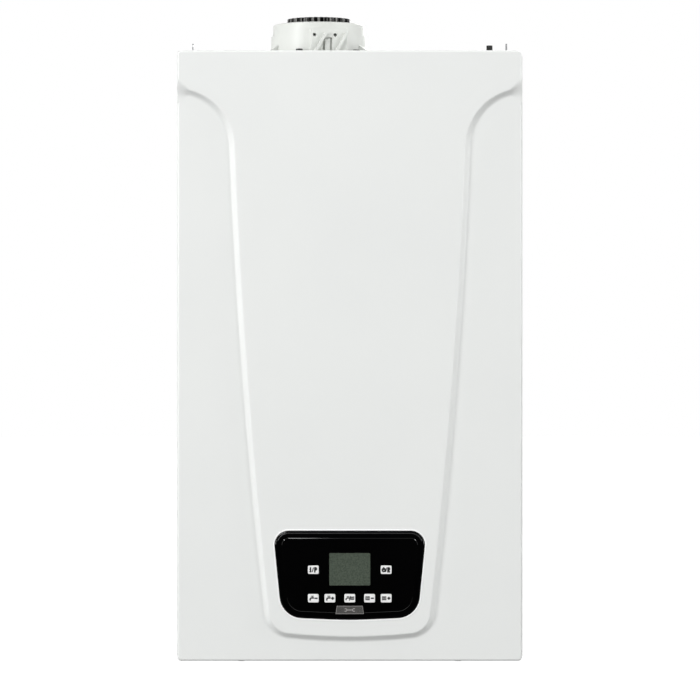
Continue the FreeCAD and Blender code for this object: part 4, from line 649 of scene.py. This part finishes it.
# Pressure gauge: scale, figures and a green and a red band on the dial, read from below
dialSettings = {
    "lift": 0.08, "sink": 0.10, "top": 4, "sweep": 240, "line": 0.45, "wall": 2.2,
    "tick": (12.2, 14.6), "short": (13.3, 14.6),
    "bands": (("dialGreen", 0.8, 2.0), ("needleRed", 2.8, 4.0)), "band": (10.6, 11.6), "bandSteps": 12,
    "figure": 8.2, "figureHeight": 2.6, "figureLine": 0.36, "figureMiddle": (0.3, 0.5),
}
figureLines = {  # strokes in a box 0.6 wide and 1 tall
    0: [(0, 0), (0.6, 0), (0.6, 1), (0, 1), (0, 0)],
    1: [(0.15, 0.8), (0.4, 1), (0.4, 0)],
    2: [(0, 0.85), (0.15, 1), (0.45, 1), (0.6, 0.8), (0.6, 0.62), (0, 0), (0.6, 0)],
    3: [(0, 1), (0.6, 1), (0.25, 0.58), (0.6, 0.4), (0.6, 0.15), (0.45, 0), (0, 0.05)],
    4: [(0.45, 0), (0.45, 1), (0, 0.3), (0.62, 0.3)],
}


def dressDial(s):
    low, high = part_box("pressure_gauge")
    # the needle lies halfway down the recess, so the dial is twice as deep
    dialLevel = low.z + 2 * (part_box("gauge_needle")[0].z - low.z)
    plane = (((low.x + high.x) / 2, (low.y + high.y) / 2, dialLevel),
             (1, 0, 0), (0, -1, 0), (0, 0, -1))

    def spot(radius, value):
        turn = math.radians(90 + s["sweep"] * (0.5 - value / s["top"]))
        return radius * math.cos(turn), radius * math.sin(turn)

    scale = min(1.0, ((high.x - low.x) / 2 / mm - s["wall"]) / s["tick"][1])
    lines = []
    for k in range(s["top"] * 2 + 1):
        inner, outer = s["tick"] if k % 2 == 0 else s["short"]
        lines += strokeFaces([spot(inner * scale, k / 2), spot(outer * scale, k / 2)], s["line"])
    tall = s["figureHeight"] * scale
    middleX, middleZ = s["figureMiddle"]
    for value in range(s["top"] + 1):
        x, z = spot(s["figure"] * scale, value)
        lines += strokeFaces([(x + (px - middleX) * tall, z + (pz - middleZ) * tall)
                              for px, pz in figureLines[value]], s["figureLine"])
    inlay("gauge_scale", lines, plane, s["lift"], s["sink"], "markInk", "boiler_case")
    steps = s["bandSteps"]
    for finish, start, end in s["bands"]:
        inner, outer = ([spot(radius * scale, start + (end - start) * k / steps)
                         for k in range(steps + 1)] for radius in s["band"])
        inlay("gauge_band_" + finish, bandFaces(inner, outer), plane, s["lift"], s["sink"], finish,
              "boiler_case")
    print("dial marked 0 to", s["top"])


dressDial(dialSettings)


# Cross recesses in the four screws that hold the turret, as painted shade: dark crosses laid on the
# heads in place of cut hollows
recessSettings = {
    "circle": 63.0, "angle": 33.0, "turn": 12.0, "reach": 2.2, "line": 0.9, "lift": 0.05, "sink": 0.4,
}


def dressScrews(s):
    socket = next(m for m in frame["record"]["mounts"] if m["name"] == "flue_socket")
    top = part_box("flue_screws")[1].z
    reach = s["reach"]
    faces = []
    for angle in (s["angle"], -s["angle"], 180 - s["angle"], 180 + s["angle"]):
        turn = math.radians(angle + s["turn"])
        x, y = s["circle"] * math.sin(turn), -s["circle"] * math.cos(turn)
        faces += strokeFaces([(x - reach, y), (x + reach, y)], s["line"])
        faces += strokeFaces([(x, y - reach), (x, y + reach)], s["line"])
    plane = ((socket["pos_m"][0], socket["pos_m"][1], top), (1, 0, 0), (0, 1, 0), (0, 0, 1))
    # painted shade: the dark crosses stand for the shade inside the recesses
    inlay("flue_screw_recess_shade", faces, plane, s["lift"], s["sink"], "markInk",
          "boiler_case")
    print("screw recesses marked")


dressScrews(recessSettings)


# Beads along the outline of the control panel: the cover's rolled hem, brighter than the cover as a
# painted highlight, and a raised line along the panel's top edge in a lighter grey, a painted
# highlight of its rounded edge
beadSettings = {
    "topCorner": 16.0, "footCorner": 26.0, "bow": 3.4, "bowCorner": 560.0,
    "halfTop": 87.6, "halfBottom": 77.8, "steps": 10, "round": 6,
    "beads": {
        "cutout_hem": {"start": 0.25, "width": 1.8, "proud": 0.36, "sink": 0.25, "behind": 2.0,
                       "flat": 0.6, "finish": "hemHighlightPaint", "body": "cover", "slot": "white_paint"},
        "panel_highlight_bead": {"start": -3.3, "width": 1.2, "proud": 0.45, "sink": 0.25, "behind": 1.2,
                       "flat": 1.0, "facing": (0.15, 0.60),  # only where the edge faces up towards the lamps, where the painted highlight shows
                       "finish": "edgeHighlightGrey", "body": "control_box", "slot": "black_gloss"},
    },
}


def roundedOutline(corners, steps):
    # points with their outward normals round a shape given by corners and radii, anticlockwise
    points = []
    count = len(corners)
    for k in range(count):
        here = Vector(corners[k][:2])
        back = (Vector(corners[k - 1][:2]) - here).normalized()
        ahead = (Vector(corners[(k + 1) % count][:2]) - here).normalized()
        half = back.angle(ahead) / 2
        radius = corners[k][2]
        centre = here + (back + ahead).normalized() * (radius / math.sin(half))
        first = here + back * (radius / math.tan(half)) - centre
        last = here + ahead * (radius / math.tan(half)) - centre
        sweep = first.angle_signed(last)
        for step in range(steps + 1):
            turn = -sweep * step / steps
            normal = Vector((first.x * math.cos(turn) - first.y * math.sin(turn),
                             first.x * math.sin(turn) + first.y * math.cos(turn))).normalized()
            points.append((centre + normal * radius, normal))
    return points


def sweepBead(name, row, outline, front, count):
    # a closed ring, or an open run that sinks away at both ends
    closed = "facing" not in row
    if closed:
        run = [(point, normal, 1.0) for point, normal in outline]
    else:
        # the open run keeps the upward-facing, lit part of the outline for the painted highlight
        none, full = row["facing"]
        run = [(point, normal, min(1.0, (normal.y - none) / (full - none)))
               for point, normal in outline if normal.y > none]
    build = bmesh.new()
    rings = []
    for point, normal, share in run:
        ring = []
        for k in range(count + 1):
            turn = math.pi * k / count
            spot = point + normal * (row["start"] + row["width"] * (1 - math.cos(turn)) / 2)
            rise = row["proud"] * math.sin(turn) ** row["flat"] * share - row["sink"] * (1 - share)
            out = rise - row["sink"] * (k in (0, count)) - row["behind"]
            ring.append(build.verts.new((spot.x * mm, front - out * mm, spot.y * mm)))
        rings.append(ring)
    if not closed:
        build.faces.new(rings[0])
        build.faces.new(rings[-1])
    for ring, following in zip(rings, rings[1:] + rings[:1] * closed):
        for j in range(count + 1):
            i = (j + 1) % (count + 1)
            build.faces.new((ring[j], ring[i], following[i], following[j]))
    bmesh.ops.recalc_face_normals(build, faces=build.faces)
    newPiece(name, build, row["finish"], row["body"]).data.shade_smooth()


def dressPanel(s):
    low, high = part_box("fascia")
    top, bottom = high.z / mm, low.z / mm
    outline = roundedOutline([
        (s["halfTop"], top, s["topCorner"]), (-s["halfTop"], top, s["topCorner"]),
        (-s["halfBottom"], bottom + s["bow"], s["footCorner"]), (0, bottom, s["bowCorner"]),
        (s["halfBottom"], bottom + s["bow"], s["footCorner"])], s["steps"])
    for name, row in s["beads"].items():
        sweepBead(name, row, outline, low.y, s["round"])
    print("beads round the controls:", len(s["beads"]))


dressPanel(beadSettings)


# Soft studio light, white all round, with small lamps for the flanks, the turret and the panel's edges
stageSettings = {
    "floorGap": 0.5, "floorNear": 3.5, "floorSize": 60.0, "floorColor": 0.20, "floorSeen": 1.27,
    "floorShadow": 0.2, "floorRough": 0.9, "floorSpecular": 0.1, "seen": 1.0,
    "frontDark": (0.55, 0.92, 0.60, 0.018), "zenithDark": (0.35, 0.95, 1.0, 0.55),
    "lamps": {
        "keyLamp": {"at": (-1.8, -3.8, 2.4), "size": 1.8, "power": 108},
        "leftLamp": {"at": (-4.4, -3.4, 0.0), "size": 1.4, "power": 114},
        "rightLamp": {"at": (4.6, -3.6, 0.1), "size": 1.5, "power": 92},
        "stripLamp": {"at": (3.2, -1.0, -0.1), "size": 0.4, "power": 10.0},
        "backLamp": {"at": (1.6, 4.2, 1.6), "size": 2.4, "power": 150},
        "turretLamp": {"at": (1.0, -0.22, 0.5), "size": 0.3, "power": 1.5},
        "glintTop": {"at": (-0.18, -0.40, 1.4), "size": 0.2, "power": 1.0},
        "glintLeft": {"at": (-1.3, -0.42, 0.7), "size": 0.24, "power": 3.0},
        "glintRight": {"at": (1.3, -0.42, 0.7), "size": 0.2, "power": 2.0},
    },
}


def makeWorld(s):
    # seen as white; as light it is dim, darker overhead and dark in front, where the room lies
    world = bpy.data.worlds.new("studio")
    bpy.context.scene.world = world
    world.use_nodes = True
    tree = world.node_tree
    add, link = tree.nodes.new, tree.links.new
    place = add("ShaderNodeTexCoord")
    ambient = add("ShaderNodeMath")
    ambient.operation = "MULTIPLY"
    for side, (direction, key) in enumerate((((0, -1, 0), "frontDark"), ((0, 0, 1), "zenithDark"))):
        facing = add("ShaderNodeVectorMath")
        facing.operation = "DOT_PRODUCT"
        facing.inputs[1].default_value = direction
        fall = add("ShaderNodeMapRange")
        for socket, value in zip(("From Min", "From Max", "To Min", "To Max"), s[key]):
            fall.inputs[socket].default_value = value
        link(place.outputs["Generated"], facing.inputs[0])
        link(facing.outputs["Value"], fall.inputs["Value"])
        link(fall.outputs["Result"], ambient.inputs[side])
    path = add("ShaderNodeLightPath")
    level = add("ShaderNodeMapRange")
    level.inputs["To Max"].default_value = s["seen"]
    link(ambient.outputs["Value"], level.inputs["To Min"])
    link(path.outputs["Is Camera Ray"], level.inputs["Value"])
    link(level.outputs["Result"], tree.nodes["Background"].inputs["Strength"])
    tree.nodes["Background"].inputs["Color"].default_value = (1, 1, 1, 1)


def makeFloor(s):
    # white to the eye with a faint shadow, pale grey as a bounce
    bpy.ops.mesh.primitive_plane_add(size=s["floorSize"], location=(0, 0, cadLow.z - s["floorGap"]))
    floor = bpy.context.object
    floor.name = "studioFloor"
    material = bpy.data.materials.new("studioFloor")
    material.use_nodes = True
    tree = material.node_tree
    link = tree.links.new
    shader = tree.nodes["Principled BSDF"]
    shader.inputs["Roughness"].default_value = s["floorRough"]
    shader.inputs["Specular IOR Level"].default_value = s["floorSpecular"]
    path = tree.nodes.new("ShaderNodeLightPath")
    side = tree.nodes.new("ShaderNodeNewGeometry")
    away = tree.nodes.new("ShaderNodeVectorMath")
    away.operation = "LENGTH"
    far = tree.nodes.new("ShaderNodeMath")
    far.operation = "GREATER_THAN"
    far.inputs[1].default_value = s["floorNear"]
    mirrored = tree.nodes.new("ShaderNodeMath")
    mirrored.operation = "MULTIPLY"
    # dark to mirrors further off, so that the gloss black panel stays black
    bounce = tree.nodes.new("ShaderNodeMix")
    bounce.data_type = "RGBA"
    bounce.inputs["A"].default_value = (s["floorColor"],) * 3 + (1,)
    bounce.inputs["B"].default_value = (0, 0, 0, 1)
    link(side.outputs["Position"], away.inputs[0])
    link(away.outputs["Value"], far.inputs[0])
    link(far.outputs["Value"], mirrored.inputs[0])
    link(path.outputs["Is Glossy Ray"], mirrored.inputs[1])
    link(mirrored.outputs["Value"], bounce.inputs["Factor"])
    link(bounce.outputs["Result"], shader.inputs["Base Color"])
    glow = tree.nodes.new("ShaderNodeEmission")
    glow.inputs["Strength"].default_value = s["floorSeen"]
    share = tree.nodes.new("ShaderNodeMath")
    share.operation = "MULTIPLY"
    share.inputs[1].default_value = 1 - s["floorShadow"]
    mix = tree.nodes.new("ShaderNodeMixShader")
    link(path.outputs["Is Camera Ray"], share.inputs[0])
    link(share.outputs["Value"], mix.inputs["Fac"])
    link(shader.outputs["BSDF"], mix.inputs[1])
    link(glow.outputs["Emission"], mix.inputs[2])
    clear = tree.nodes.new("ShaderNodeBsdfTransparent")  # nothing to see from underneath
    oneWay = tree.nodes.new("ShaderNodeMixShader")
    link(side.outputs["Backfacing"], oneWay.inputs["Fac"])
    link(mix.outputs["Shader"], oneWay.inputs[1])
    link(clear.outputs["BSDF"], oneWay.inputs[2])
    link(oneWay.outputs["Shader"], tree.nodes["Material Output"].inputs["Surface"])
    floor.data.materials.append(material)
    floor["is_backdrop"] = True


def makeStage(s):
    bpy.context.scene.view_settings.view_transform = "Standard"
    makeWorld(s)
    makeFloor(s)
    middle = (cadLow + cadHigh) / 2
    for name, lamp in s["lamps"].items():
        data = bpy.data.lights.new(name, "AREA")
        data.shape = "SQUARE"
        data.size = lamp["size"]
        data.energy = lamp["power"]
        lampObject = bpy.data.objects.new(name, data)
        lampObject.location = lamp["at"]
        lampObject.rotation_euler = (middle - Vector(lamp["at"])).to_track_quat("-Z", "Y").to_euler()
        bpy.context.scene.collection.objects.link(lampObject)
    print("stage and", len(s["lamps"]), "lamps")


makeStage(stageSettings)
